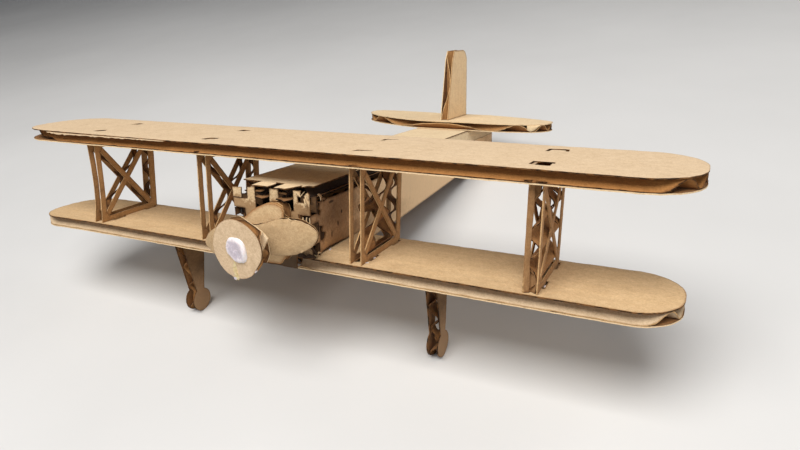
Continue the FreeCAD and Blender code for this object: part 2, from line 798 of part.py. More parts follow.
wire_front = disc_front - WIRE_IN_GLUE
wire_end = nose_back + SHAFT_BEHIND_NOSE
hook_start = former_back + HOOK_BEHIND


def hide(*objects):
    for obj in objects:
        obj.Visibility = False


def cylinder(name, radius, length):
    obj = doc.addObject("Part::Cylinder", name)
    set_driven(obj, "Radius", radius)
    set_driven(obj, "Height", length)
    return obj


def fuse(name, shapes):
    obj = doc.addObject("Part::MultiFuse", name)
    obj.Shapes = shapes
    hide(*shapes)
    return obj


def cut_away(name, base, tool):
    obj = doc.addObject("Part::Cut", name)
    obj.Base, obj.Tool = base, tool
    obj.Label = name
    hide(base, tool)
    return obj


def eye_hook(label, length):
    """Wire along +Z from 0, with an open eye in the YZ plane beyond its end."""
    stem = cylinder(label + "_stem", dims.shaft_radius, length)
    ring = doc.addObject("Part::Torus", label + "_eye")
    set_driven(ring, "Radius1", dims.eye_radius)
    set_driven(ring, "Radius2", dims.shaft_radius)
    ring.Angle3 = EYE_SWEEP
    ring.Placement = FreeCAD.Placement(
        V(0, 0, num(length + dims.eye_radius)),
        FreeCAD.Rotation(V(0, 0, 1), V(0, 0, 0), V(1, 0, 0), "ZXY"))
    hook = fuse(label, [stem, ring])
    hook.Label = label
    return hook


def prop_shaft():
    """Wire from inside the glue, through hub and bearing tube, to its eye."""
    hook = eye_hook("prop_shaft", wire_end - wire_front)
    place(hook, (0, wire_front, shaft_z), (1, 0, 0), (0, 0, -1))
    return hook


def hub_glue():
    """Half blob of hot glue that holds the wire to the disc; its Z points forward."""
    blob = doc.addObject("Part::Ellipsoid", "hub_glue_blob")
    blob.Radius1, blob.Radius2, blob.Radius3 = GLUE_DEPTH, GLUE_HALF_X, GLUE_HALF_Y
    flat = doc.addObject("Part::Box", "hub_glue_flat")
    flat.Length, flat.Width, flat.Height = 2 * GLUE_TRIM, 2 * GLUE_TRIM, GLUE_TRIM
    flat.Placement = shifted(-GLUE_TRIM, -GLUE_TRIM, -GLUE_TRIM)
    wire = cylinder("hub_glue_wire", dims.shaft_radius, WIRE_IN_GLUE)
    wire.Placement = shifted(GLUE_LEFT, 0, 0)
    glue = cut_away("hub_glue", blob, fuse("hub_glue_tools", [flat, wire]))
    place(glue, (-GLUE_LEFT, disc_front, shaft_z), (1, 0, 0), (0, 0, 1))
    return glue


def bearing_tube():
    """Tube through the bearing plate and the nose plate."""
    length = thick * 2 + (TUBE_AHEAD + TUBE_BEHIND)
    outside = cylinder("bearing_tube_outer", dims.tube_radius, length)
    bore = cylinder("bearing_tube_bore", dims.tube_bore, length + 2)
    bore.Placement = shifted(0, 0, -1)
    tube = cut_away("bearing_tube", outside, bore)
    place(tube, (0, bearing_front - TUBE_AHEAD, shaft_z), (1, 0, 0), (0, 0, -1))
    return tube


def tail_hook():
    """Wire from behind the rear former forward to its eye."""
    hook = eye_hook("tail_hook", HOOK_LENGTH)
    place(hook, (0, hook_start, HOOK_Z), (1, 0, 0), (0, 0, 1))
    return hook


# ---------------------------------------------------------------- rubber
RUBBER_CLEARANCE = 0.22      # between the wire and the inside of the band
BORE_EXTRA = 1               # the inner shape stands this far out on both sides


def stadium(name, radius, height, lift, reach):
    """Flat link: two round ends joined by a straight middle, along +X."""
    near = cylinder(name + "_near", radius, height)
    far = cylinder(name + "_far", radius, height)
    middle = doc.addObject("Part::Box", name + "_middle")
    middle.Length = reach
    set_driven(middle, "Width", radius * 2)
    set_driven(middle, "Height", height)
    near.Placement = shifted(0, 0, lift)
    far.Placement = shifted(reach, 0, lift)
    middle.Placement = shifted(0, -num(radius), lift)
    return fuse(name, [near, far, middle])


def rubber_band():
    """Band around the far sides of both eyes."""
    front = num(wire_end + dims.eye_radius * 2)
    rear = num(hook_start - HOOK_LENGTH - dims.eye_radius * 2)
    climb = HOOK_Z - num(shaft_z)
    reach = math.hypot(rear - front, climb)
    height = dims.rubber_height
    inner = dims.shaft_radius + RUBBER_CLEARANCE
    outer_link = stadium("rubber_outer", inner + dims.rubber_thick, height, 0, reach)
    inner_link = stadium("rubber_inner", inner, height + 2 * BORE_EXTRA, -BORE_EXTRA, reach)
    band = cut_away("rubber_band", outer_link, inner_link)
    place(band, (0, front, shaft_z - height / 2), (0, rear - front, climb), (-1, 0, 0))
    return band


# ---------------------------------------------------------------- build
pieces = [
    upper_wing(),
    lower_wing("lower_wing_left", -1),
    lower_wing("lower_wing_right", 1),
    strut_frame("strut_frame_left_outer", -dims.frame_outer),
    strut_frame("strut_frame_left_inner", -dims.frame_inner),
    strut_frame("strut_frame_right_inner", dims.frame_inner),
    strut_frame("strut_frame_right_outer", dims.frame_outer),
    fuselage_side("fuselage_side_left", -1),
    fuselage_side("fuselage_side_right", 1),
    deck(),
    belly_plate(),
    nose_plate(),
    bearing_plate(),
    rear_former(),
    stabiliser(),
    fin(),
    leg("leg_left", -1, foot_y=-3.7, drop=dims.wheel_drop + 0.375,
        width=dims.leg_left_width, ahead=0.56),
    leg("leg_right", 1, foot_y=-0.2, drop=dims.wheel_drop - 0.396,
        width=dims.leg_right_width, ahead=0.59),
    propeller_blades(),
    hub_spacer(),
    hub_disc(),
    prop_shaft(),
    hub_glue(),
    bearing_tube(),
    tail_hook(),
    rubber_band(),
]
doc.recompute()

# ---------------------------------------------------------------- checks and files
for obj in doc.Objects:
    bad = [state for state in obj.State if state in ("Invalid", "Error")]
    if bad:
        raise RuntimeError("%s (%s) is %s" % (obj.Label, obj.TypeId, bad))

os.makedirs("parts", exist_ok=True)
for piece in pieces:
    shape = piece.Shape
    if shape.isNull() or not shape.isValid() or not shape.Solids:
        raise RuntimeError("%s has no sound solid" % piece.Label)
    shape.exportStep("parts/%s.step" % piece.Label)
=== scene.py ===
"""A model biplane cut from corrugated card, with a rubber band motor and hot glue.

It is laid out in its level frame in millimetres: X across, nose towards -Y, Z up, with z = 0 on
top of the upper wing. Left (-X) and right (+X) are as seen from in front of the nose.
to_row() stands it nose-up on the ground and gives metres.
"""

import math

import bpy
import numpy as np
from mathutils import Matrix, Vector
from mathutils.geometry import delaunay_2d_cdt


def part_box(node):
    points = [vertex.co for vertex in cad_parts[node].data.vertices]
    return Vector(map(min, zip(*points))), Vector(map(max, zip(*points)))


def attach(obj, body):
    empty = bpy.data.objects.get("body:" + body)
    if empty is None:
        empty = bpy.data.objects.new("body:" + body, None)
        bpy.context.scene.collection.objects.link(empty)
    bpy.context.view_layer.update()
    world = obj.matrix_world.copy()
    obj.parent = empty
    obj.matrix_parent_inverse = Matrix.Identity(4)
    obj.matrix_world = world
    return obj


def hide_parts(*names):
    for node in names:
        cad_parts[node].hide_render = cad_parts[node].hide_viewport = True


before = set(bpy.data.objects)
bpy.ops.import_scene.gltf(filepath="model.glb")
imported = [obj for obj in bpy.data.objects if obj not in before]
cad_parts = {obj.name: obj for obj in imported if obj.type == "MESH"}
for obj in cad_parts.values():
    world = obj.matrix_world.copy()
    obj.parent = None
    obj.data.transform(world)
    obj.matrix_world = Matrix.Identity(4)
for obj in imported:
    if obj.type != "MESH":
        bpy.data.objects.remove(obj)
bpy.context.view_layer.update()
scene = bpy.context.scene

# ---- level frame to ground frame
LEAN = math.radians(12.43)
LEAN_COS, LEAN_SIN = math.cos(LEAN), math.sin(LEAN)
FORWARD, RAISE = 53.03, 63.11  # shift towards the nose and up

# ---- the card: two liners with a fluted medium between them
THICK, LINER, MEDIUM = 4.0, 0.35, 0.28
PITCH = 7.9  # flute spacing

# ---- driving places of the aeroplane
UPPER_Z = -THICK                # underside of the upper wing
LOWER_Z = -36.17                # underside of the lower wings
LOWER_TOP = LOWER_Z + THICK
STRUT_INNER, STRUT_OUTER = 27.9, 78.4
POST_Y, LOW_AFT_Y = 8.0, 6.5    # tenons of the strut frames
DECK_SLOPE, BELLY_SLOPE = 0.028, 0.033
WALL = 10.0                     # inner face of the fuselage sides
BOX_FRONT, BOX_END = -12.0, 153.0
SHAFT_Z, TAIL_HOOK_Z = -25.6, -23.3
BEARING_FRONT = -20.0


def deck_top(y):
    return -11.0 - DECK_SLOPE * (y + 16.0)


def to_row(points):
    """Level frame in millimetres to ground frame in metres."""
    x, y, z = np.asarray(points, float).T
    return np.column_stack((x, y * LEAN_COS + z * LEAN_SIN - FORWARD,
                            -y * LEAN_SIN + z * LEAN_COS + RAISE)) / 1000.0


# ------------------------------------------------------------------ repeatable noise
def ease(k):
    return k * k * (3 - 2 * k)


def lattice(ix, iy, seed):
    """A hashed value from -1 to 1 for each lattice point."""
    mixed = (ix * 374761393 + iy * 668265263 + int(seed) * 974634777) & 0xFFFFFFFF
    mixed = ((mixed ^ (mixed >> 13)) * 1274126177) & 0xFFFFFFFF
    return ((mixed ^ (mixed >> 16)) & 0xFFFF) / 32767.5 - 1.0


def noise(x, y, seed):
    x, y = np.asarray(x, float), np.asarray(y, float)
    ix, iy = np.floor(x).astype(np.int64), np.floor(y).astype(np.int64)
    blend_x, blend_y = ease(x - ix), ease(y - iy)
    near = lattice(ix, iy, seed) * (1 - blend_x) + lattice(ix + 1, iy, seed) * blend_x
    far = lattice(ix, iy + 1, seed) * (1 - blend_x) + lattice(ix + 1, iy + 1, seed) * blend_x
    return near * (1 - blend_y) + far * blend_y


def fractal(x, y, seed, octaves=2):
    total, gain, norm = 0.0, 1.0, 0.0
    for k in range(octaves):
        total = total + gain * noise(np.asarray(x) * 2 ** k, np.asarray(y) * 2 ** k, seed + 17 * k)
        norm += gain
        gain *= 0.5
    return total / norm


# ------------------------------------------------------------------ flat outlines
def rect(x0, y0, x1, y1):
    return np.array([(x0, y0), (x1, y0), (x1, y1), (x0, y1)], float)


def circle(x, y, radius, count=28):
    turn = np.arange(count) * 2 * math.pi / count
    return np.column_stack((x + radius * np.cos(turn), y + radius * np.sin(turn)))


def wound(loop, ccw):
    loop = np.asarray(loop, float)
    x, y = loop[:, 0], loop[:, 1]
    area = 0.5 * float(np.sum(x * np.roll(y, -1) - np.roll(x, -1) * y))
    return loop if (area > 0) == ccw else loop[::-1].copy()


def rounded(points, radii, steps):
    """Rounds the corners of a closed polygon, with one radius per corner."""
    points = [np.asarray(point, float) for point in points]
    out = []
    for i, corner in enumerate(points):
        radius = radii[i]
        if radius <= 0:
            out.append(corner)
            continue
        back, ahead = points[i - 1] - corner, points[(i + 1) % len(points)] - corner
        back, ahead = back / np.linalg.norm(back), ahead / np.linalg.norm(ahead)
        half = math.acos(max(-1, min(1, float(back @ ahead)))) / 2
        cut = radius / math.tan(half)
        middle = (back + ahead) / np.linalg.norm(back + ahead)
        centre = corner + middle * (radius / math.sin(half))
        start, end = corner + back * cut - centre, corner + ahead * cut - centre
        angle = math.atan2(start[1], start[0])
        turn = (math.atan2(end[1], end[0]) - angle + math.pi) % (2 * math.pi) - math.pi
        for k in range(steps + 1):
            t = angle + turn * k / steps
            out.append(centre + radius * np.array((math.cos(t), math.sin(t))))
    return np.array(out)


def left_normals(run):
    run = run / np.maximum(np.linalg.norm(run, axis=1), 1e-9)[:, None]
    return np.column_stack((-run[:, 1], run[:, 0]))


def inset(loop, amount):
    """Moves a closed loop towards the material, which lies on its left."""
    after = left_normals(np.roll(loop, -1, 0) - loop)
    before = np.roll(after, 1, 0)
    dot = 1 + np.sum(before * after, axis=1)
    return loop + (before + after) / np.maximum(dot, 0.35)[:, None] * amount


def resample(loop, step):
    out = []
    for i, start in enumerate(loop):
        end = loop[(i + 1) % len(loop)]
        count = max(1, int(math.ceil(np.linalg.norm(end - start) / step)))
        out += [start + (end - start) * j / count for j in range(count)]
    return np.array(out)


def ragged(loop, amount, seed, scale=1.1):
    """The small wander of a hand-held blade along a cut."""
    normals = left_normals(np.roll(loop, -1, 0) - np.roll(loop, 1, 0))
    wander = fractal(loop[:, 0] / scale + 31.7, loop[:, 1] / scale + 11.3, seed)
    return loop + normals * (wander * amount)[:, None]


def inside(points, loops):
    """Whether each point lies inside an odd number of the loops."""
    x, y = points[:, 0][:, None], points[:, 1][:, None]
    hit = np.zeros(len(points), bool)
    for start in loops:
        end = np.roll(start, -1, 0)
        spans = (start[:, 1] > y) != (end[:, 1] > y)
        with np.errstate(divide="ignore", invalid="ignore"):
            share = (end[:, 0] - start[:, 0]) * (y - start[:, 1]) / (end[:, 1] - start[:, 1])
        hit ^= (np.sum(spans & (x < share + start[:, 0]), axis=1) % 2) == 1
    return hit


def distance(points, loops, chunk=4000):
    """Distance from each point to the nearest loop."""
    best = np.full(len(points), 1e9)
    for start in loops:
        run = np.roll(start, -1, 0) - start
        square = np.maximum(np.sum(run * run, axis=1), 1e-12)
        for s in range(0, len(points), chunk):
            part = points[s:s + chunk]
            t = np.clip(((part[:, None, :] - start) * run).sum(2) / square, 0, 1)
            foot = start + t[:, :, None] * run
            gap = np.sqrt(((part[:, None, :] - foot) ** 2).sum(2)).min(1)
            best[s:s + chunk] = np.minimum(best[s:s + chunk], gap)
    return best


def triangulate(loops, points, rows, squeeze):
    """Triangles of the region inside the loops. Rows are chains that no triangle crosses.
    X is squeezed meanwhile, so that triangles come out long in X."""
    coords, edges = [], []
    for chain, closed in [(loop, 1) for loop in loops] + [(row, 0) for row in rows]:
        base, count = len(coords), len(chain)
        coords += [Vector((p[0] * squeeze, p[1])) for p in chain]
        edges += [(base + i, base + (i + 1) % count) for i in range(count - 1 + closed)]
    coords += [Vector((p[0] * squeeze, p[1])) for p in points]
    flat, _, faces, _, _, _ = delaunay_2d_cdt(coords, edges, [], 0, 1e-4)
    flat = np.array([(p.x / squeeze, p.y) for p in flat])
    faces = np.array([face for face in faces if len(face) == 3], int)
    one, two, three = flat[faces[:, 0]], flat[faces[:, 1]], flat[faces[:, 2]]
    twice = ((two[:, 0] - one[:, 0]) * (three[:, 1] - one[:, 1])
             - (two[:, 1] - one[:, 1]) * (three[:, 0] - one[:, 0]))
    keep = inside((one + two + three) / 3, loops) & (np.abs(twice) > 1e-6)
    faces, twice = faces[keep], twice[keep]
    faces[twice < 0] = faces[twice < 0][:, ::-1]
    used = np.unique(faces)
    index = np.full(len(flat), -1)
    index[used] = np.arange(len(used))
    return flat[used], index[faces]


def rim(faces):
    """Directed edges that only one triangle has."""
    edges = np.concatenate((faces[:, [0, 1]], faces[:, [1, 2]], faces[:, [2, 0]])).tolist()
    there = set(map(tuple, edges))
    return np.array([edge for edge in edges if (edge[1], edge[0]) not in there], int)


# ------------------------------------------------------------------ a mesh under construction
class Build:
    """Gathers vertices and faces, a material index (kind) per face, and for each vertex its
    card coordinates and its distance from the cut edge."""

    def __init__(self, seed):
        self.verts, self.card, self.edge, self.faces, self.kinds = [], [], [], [], []
        self.count, self.seed = 0, seed

    def add(self, verts, faces, kinds, card, edge):
        self.verts.append(verts)
        self.card.append(np.asarray(card, float))
        self.edge.append(np.broadcast_to(np.asarray(edge, float), (len(verts),)))
        self.faces += [tuple(int(i) + self.count for i in face) for face in faces]
        self.kinds += kinds
        self.count += len(verts)

    def slab(self, flat, faces, low, high, gap, kinds):
        """A thin sheet between two heights; kinds is (underside, upper side, cut edge)."""
        count = len(flat)
        base, top = np.column_stack((flat, low)), np.column_stack((flat, high))
        both = np.concatenate((base, top))
        self.add(both, [face[::-1] for face in faces] + [face + count for face in faces],
                 [kinds[0]] * len(faces) + [kinds[1]] * len(faces), both,
                 np.concatenate((gap, gap)))
        # the cut edge has its own vertices, so that it stays crisp
        edges = rim(faces)
        ring = np.unique(edges)
        where = {int(i): k for k, i in enumerate(ring)}
        pairs = [(where[int(start)], where[int(end)]) for start, end in edges]
        wall = np.concatenate((base[ring], top[ring]))
        count = len(ring)
        self.add(wall, [(i, j, j + count, i + count) for i, j in pairs],
                 [kinds[2]] * len(pairs), wall, 0.0)

    def finish(self, name, materials, verts, smooth, body, node=None):
        mesh = bpy.data.meshes.new(name)
        mesh.from_pydata(to_row(verts).tolist(), [], self.faces)
        for key in materials:
            mesh.materials.append(MATS[key])
        mesh.polygons.foreach_set("material_index", np.array(self.kinds, np.int32))
        mesh.polygons.foreach_set("use_smooth", np.ones(len(mesh.polygons), bool))
        # each seed has its own place in the paper textures
        card = np.concatenate(self.card) + np.array((0.0, 0.0, 23.0 * self.seed))
        layer = mesh.attributes.new("card", "FLOAT_VECTOR", "POINT")
        layer.data.foreach_set("vector", card.astype(np.float32).ravel())
        layer = mesh.attributes.new("edge", "FLOAT", "POINT")
        layer.data.foreach_set("value", np.concatenate(self.edge).astype(np.float32))
        mesh.validate()
        mesh.update()
        mesh.set_sharp_from_angle(angle=math.radians(smooth))
        thing = bpy.data.objects.new(name, mesh)
        scene.collection.objects.link(thing)
        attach(thing, body)
        if node is not None:
            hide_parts(node)


# ------------------------------------------------------------------ material helpers
class Graph:
    """A material's node tree, with short calls for the nodes used here."""

    def __init__(self, name):
        self.material = bpy.data.materials.new(name)
        self.material.use_nodes = True
        self.tree = self.material.node_tree
        self.tree.nodes.clear()
        output = self.tree.nodes.new("ShaderNodeOutputMaterial")
        self.shader = self.node("BsdfPrincipled")
        self.tree.links.new(self.shader.outputs[0], output.inputs["Surface"])

    def node(self, kind, inputs=None, **props):
        made = self.tree.nodes.new("ShaderNode" + kind)
        for key, value in props.items():
            setattr(made, key, value)
        for key, value in (inputs or {}).items():
            self.put(made.inputs[key], value)
        return made

    def put(self, socket, value):
        if isinstance(value, bpy.types.NodeSocket):
            self.tree.links.new(value, socket)
        else:
            socket.default_value = value

    def card(self):
        return self.node("Attribute", attribute_name="card").outputs["Vector"]

    def edge(self):
        return self.node("Attribute", attribute_name="edge").outputs["Fac"]

    def noise(self, vector, scale, detail=3.0, rough=0.6, distort=0.0, stretch=None,
              shift=(0, 0, 0)):
        if stretch:
            vector = self.node("Mapping", {"Vector": vector, "Scale": stretch,
                                           "Location": shift}).outputs[0]
        return self.node("TexNoise", {"Vector": vector, "Scale": scale, "Detail": detail,
                                      "Roughness": rough, "Distortion": distort}).outputs["Fac"]

    def math(self, operation, one, two=0.0, three=None):
        made = self.node("Math", {0: one, 1: two}, operation=operation)
        if three is not None:
            self.put(made.inputs[2], three)
        return made.outputs[0]

    def span(self, value, start=0.3, end=0.7, low=0.0, high=1.0):
        return self.node("MapRange", {"Value": value, "From Min": start, "From Max": end,
                                      "To Min": low, "To Max": high}, clamp=True).outputs[0]

    def mix(self, factor, low, high):
        return self.node("Mix", {}, data_type="RGBA"), factor, low, high

    def bump(self, height, strength, distance, normal=None):
        made = self.node("Bump", {"Height": height, "Strength": strength, "Distance": distance})
        if normal is not None:
            self.put(made.inputs["Normal"], normal)
        return made.outputs[0]

    def mix(self, factor, low, high):
        made = self.node("Mix", data_type="RGBA", blend_type="MIX")
        for index, value in ((0, factor), (6, low), (7, high)):
            self.put(made.inputs[index], value)
        return made.outputs[2]

    def tint(self, colour, mask, over, start, end, amount):
        """Lays a colour over where the mask runs from start to end."""
        share = self.math("MULTIPLY", self.span(mask, start, end), amount)
        return self.mix(share, colour, over)

    def weighted(self, *parts):
        total = self.math("MULTIPLY", *parts[0])
        for part in parts[1:]:
            total = self.math("ADD", total, self.math("MULTIPLY", *part))
        return total

    def frayed(self, value, noise, amount):
        shift = self.math("MULTIPLY", self.math("SUBTRACT", noise, 0.5), amount)
        return self.math("ADD", value, shift)

    def surface(self, inputs):
        for key, value in inputs.items():
            self.put(self.shader.inputs[key], value)
        return self.material


def rgb(red, green, blue):
    """A display colour as the linear values that the nodes take."""
    return tuple((v / 255.0 / 12.92) if v <= 10 else ((v / 255.0 + 0.055) / 1.055) ** 2.4
                 for v in (red, green, blue)) + (1.0,)


# ------------------------------------------------------------------ paper
def kraft(name, light, dark, burn, stain, washboard=0.0, burn_width=0.55, burn_amount=0.75,
          soot=0.0, fibre=1.0, mottle=0.35, marks=()):
    """Kraft paper: clouded tone, fibres, specks, flute washboarding and a browned cut edge."""
    light, dark, burn = rgb(*light), rgb(*dark), rgb(*burn)
    glow = tuple(min(0.93, 1.30 * value + 0.012) for value in light[:3]) + (1,)
    net = Graph(name)
    card = net.card()
    cloud = net.noise(card, scale=0.16, detail=4.0)
    blot = net.noise(card, scale=0.75, distort=0.4)
    grain_x = net.noise(card, scale=1.15, rough=0.65, distort=0.6, stretch=(1.3, 4.2, 2.0))
    grain_y = net.noise(card, scale=0.9, rough=0.65, distort=0.6, stretch=(4.6, 1.2, 2.0))
    fine = net.noise(card, scale=5.2, detail=2.0, rough=0.7)
    tone = net.weighted((cloud, 0.42), (blot, 0.22), (grain_x, 0.3 * fibre),
                        (grain_y, 0.24 * fibre), (fine, 0.26))
    middle = 0.5 * (0.42 + 0.22 + 0.54 * fibre + 0.26)  # half the sum of the weights
    colour = net.mix(net.span(tone, start=middle - 0.34, end=middle + 0.30), dark, light)
    # dark specks, then paler fibres
    speck = net.noise(card, scale=1.25, detail=1.5, rough=0.5, stretch=(2.6, 3.4, 3.0))
    colour = net.tint(colour, speck, burn, start=0.66, end=0.74, amount=0.42)
    pale = net.noise(card, scale=2.2, detail=1.5, rough=0.5, stretch=(3.0, 1.4, 2.0),
                     shift=(7, 3, 1))
    colour = net.tint(colour, pale, glow, start=0.62, end=0.75, amount=0.20)
    # flutes showing through the liner
    place = net.node("SeparateXYZ", {"Vector": card}).outputs
    wobble = net.noise(card, scale=1.0, detail=2.0, rough=0.55, stretch=(0.05, 0.25, 0.1))
    wave = net.math("SINE", net.math("MULTIPLY_ADD", place[1], 2 * math.pi / (PITCH / 2),
                                     net.math("MULTIPLY", wobble, 1.3)))
    colour = net.tint(colour, wave, dark, start=0.35, end=1.0, amount=0.13 * washboard)
    # cloudy pulp in patches of about a millimetre, then finer flecks
    pulp = net.noise(card, scale=0.62, detail=4.5, rough=0.72, distort=0.7,
                     stretch=(1.0, 1.35, 1.0), shift=(5, 2, 8))
    colour = net.tint(colour, pulp, net.mix(0.40, dark, burn), start=0.52, end=0.30,
                      amount=mottle)
    colour = net.tint(colour, pulp, net.mix(0.5, light, glow), start=0.52, end=0.72,
                      amount=mottle * 0.8)
    grit = net.noise(card, scale=2.1, detail=2.0, rough=0.7, distort=0.2,
                     stretch=(1.0, 1.2, 1.0), shift=(1, 6, 3))
    colour = net.tint(colour, grit, net.mix(0.30, dark, burn), start=0.50, end=0.34,
                      amount=0.22 + 0.25 * mottle)
    colour = net.tint(colour, grit, net.mix(0.5, light, glow), start=0.52, end=0.68,
                      amount=0.20 + 0.2 * mottle)
    # handling stains
    cloudy = net.noise(card, scale=0.09, detail=5.0, rough=0.62, distort=0.8)
    colour = net.tint(colour, cloudy, burn, start=0.52, end=0.72, amount=stain)
    if soot > 0:
        smoke = net.noise(card, scale=0.22, detail=5.0, rough=0.65, distort=1.2,
                          stretch=(1, 1, 1), shift=(3, 9, 4))
        colour = net.tint(colour, smoke, (0.035, 0.020, 0.011, 1), start=0.40, end=0.70,
                          amount=soot)
    # coloured patches; among them are painted light and painted shade
    for x, y, half_x, half_y, amount, over, soft in marks:
        across = net.math("DIVIDE", net.math("SUBTRACT", place[0], x), half_x)
        along = net.math("DIVIDE", net.math("SUBTRACT", place[1], y), half_y)
        far = net.math("SQRT", net.math("ADD", net.math("MULTIPLY", across, across),
                                        net.math("MULTIPLY", along, along)))
        far = net.frayed(far, blot, amount=0.9)
        colour = net.tint(colour, far, rgb(*over), start=1.0 + soft, end=1.0 - soft,
                          amount=amount)
    # browned, slightly frayed edge
    fray = net.frayed(net.edge(), net.noise(card, scale=1.8), amount=0.55)
    near = net.span(fray, start=0.02, end=burn_width, low=1.0, high=0.0)
    colour = net.mix(net.math("MULTIPLY", net.math("POWER", near, 1.5), burn_amount),
                     colour, burn)
    relief = net.weighted((grain_x, 0.5), (grain_y, 0.4), (fine, 0.35))
    normal = net.bump(relief, strength=0.42, distance=0.00009)
    normal = net.bump(wave, strength=0.35 * washboard, distance=0.00012, normal=normal)
    normal = net.bump(net.noise(card, scale=0.35, detail=2.0, rough=0.55), strength=0.35,
                      distance=0.0006, normal=normal)
    return net.surface({"Base Color": colour, "Roughness": net.span(grain_x, low=0.78, high=0.95),
                        "Specular IOR Level": 0.22, "Sheen Weight": 0.05, "Normal": normal})


def cut_edge(name, pale, mid, char, charred):
    """The cut through paper: layered fibres with scorched runs."""
    net = Graph(name)
    card = net.card()
    layers = net.noise(card, scale=0.9, distort=0.5, stretch=(1.6, 1.6, 9.0))
    fine = net.noise(card, scale=4.2, rough=0.7)
    tone = net.weighted((layers, 0.6), (fine, 0.4))
    colour = net.mix(net.span(tone, start=0.34, end=0.64), rgb(*mid), rgb(*pale))
    run = net.noise(card, scale=0.85, detail=4.0, rough=0.62, distort=0.5,
                    stretch=(0.55, 0.55, 1.4))
    start = 0.62 - 0.34 * charred
    colour = net.tint(colour, run, rgb(*char), start=start, end=start + 0.16,
                      amount=min(1.0, 0.35 + charred))
    relief = net.weighted((layers, 0.6), (fine, 0.6))
    return net.surface({"Base Color": colour, "Roughness": net.span(layers, low=0.82, high=0.97),
                        "Specular IOR Level": 0.15,
                        "Normal": net.bump(relief, strength=0.6, distance=0.00010)})


BURN = (112, 74, 38)
# marks: x, y, half width, half height, amount, colour, softness, in card coordinates
SIDE_MARKS_AND_PAINTED_LIGHT = [
    # painted light: a pale patch over the rear of the right side
    (-24.0, -84.0, 40.0, 68.0, 0.8, (238, 204, 160), 0.2),
    # darker patches and dark spots near the front and along the bottom edge
    (-20.0, 8.0, 5.0, 12.0, 0.45, (74, 48, 27), 0.6),
    (-26.0, 2.0, 8.0, 5.0, 0.30, (80, 58, 31), 0.6),
    (-32.0, -22.0, 3.5, 22.0, 0.35, (104, 74, 40), 0.5),
    (-22.1, -1.0, 0.6, 0.4, 0.9, (30, 18, 10), 0.3),
    (-25.3, 1.4, 0.8, 0.45, 0.85, (30, 18, 10), 0.3),
    (-17.5, 4.6, 0.4, 1.3, 0.8, (34, 20, 11), 0.4),
    (-27.8, 5.2, 1.1, 0.5, 0.6, (44, 28, 15), 0.4),
    (-19.5, -9.0, 2.4, 1.4, 0.35, (84, 60, 32), 0.5),
    (-29.0, -8.0, 1.6, 2.6, 0.35, (96, 70, 38), 0.5),
    (-30.2, 7.0, 1.6, 5.0, 0.35, (150, 110, 62), 0.5)]
NOSE_MARKS_AND_PAINTED_SHADE = [
    # darker over the plate below the tops of the teeth
    (0.0, -27.3, 70.0, 11.4, 0.72, (146, 108, 68), 0.05),
    (12.8, -23.5, 2.5, 6.0, 0.55, (80, 54, 31), 0.4),
    (-12.5, -19.6, 3.0, 1.0, 0.6, (70, 44, 24), 0.4),
    # painted shade on the lower tongue of the nose plate
    (0.0, -36.0, 18.0, 7.5, 0.85, (66, 52, 40), 0.25),
    (-12.3, -15.9, 2.4, 0.25, 0.85, (52, 32, 17), 0.4)]
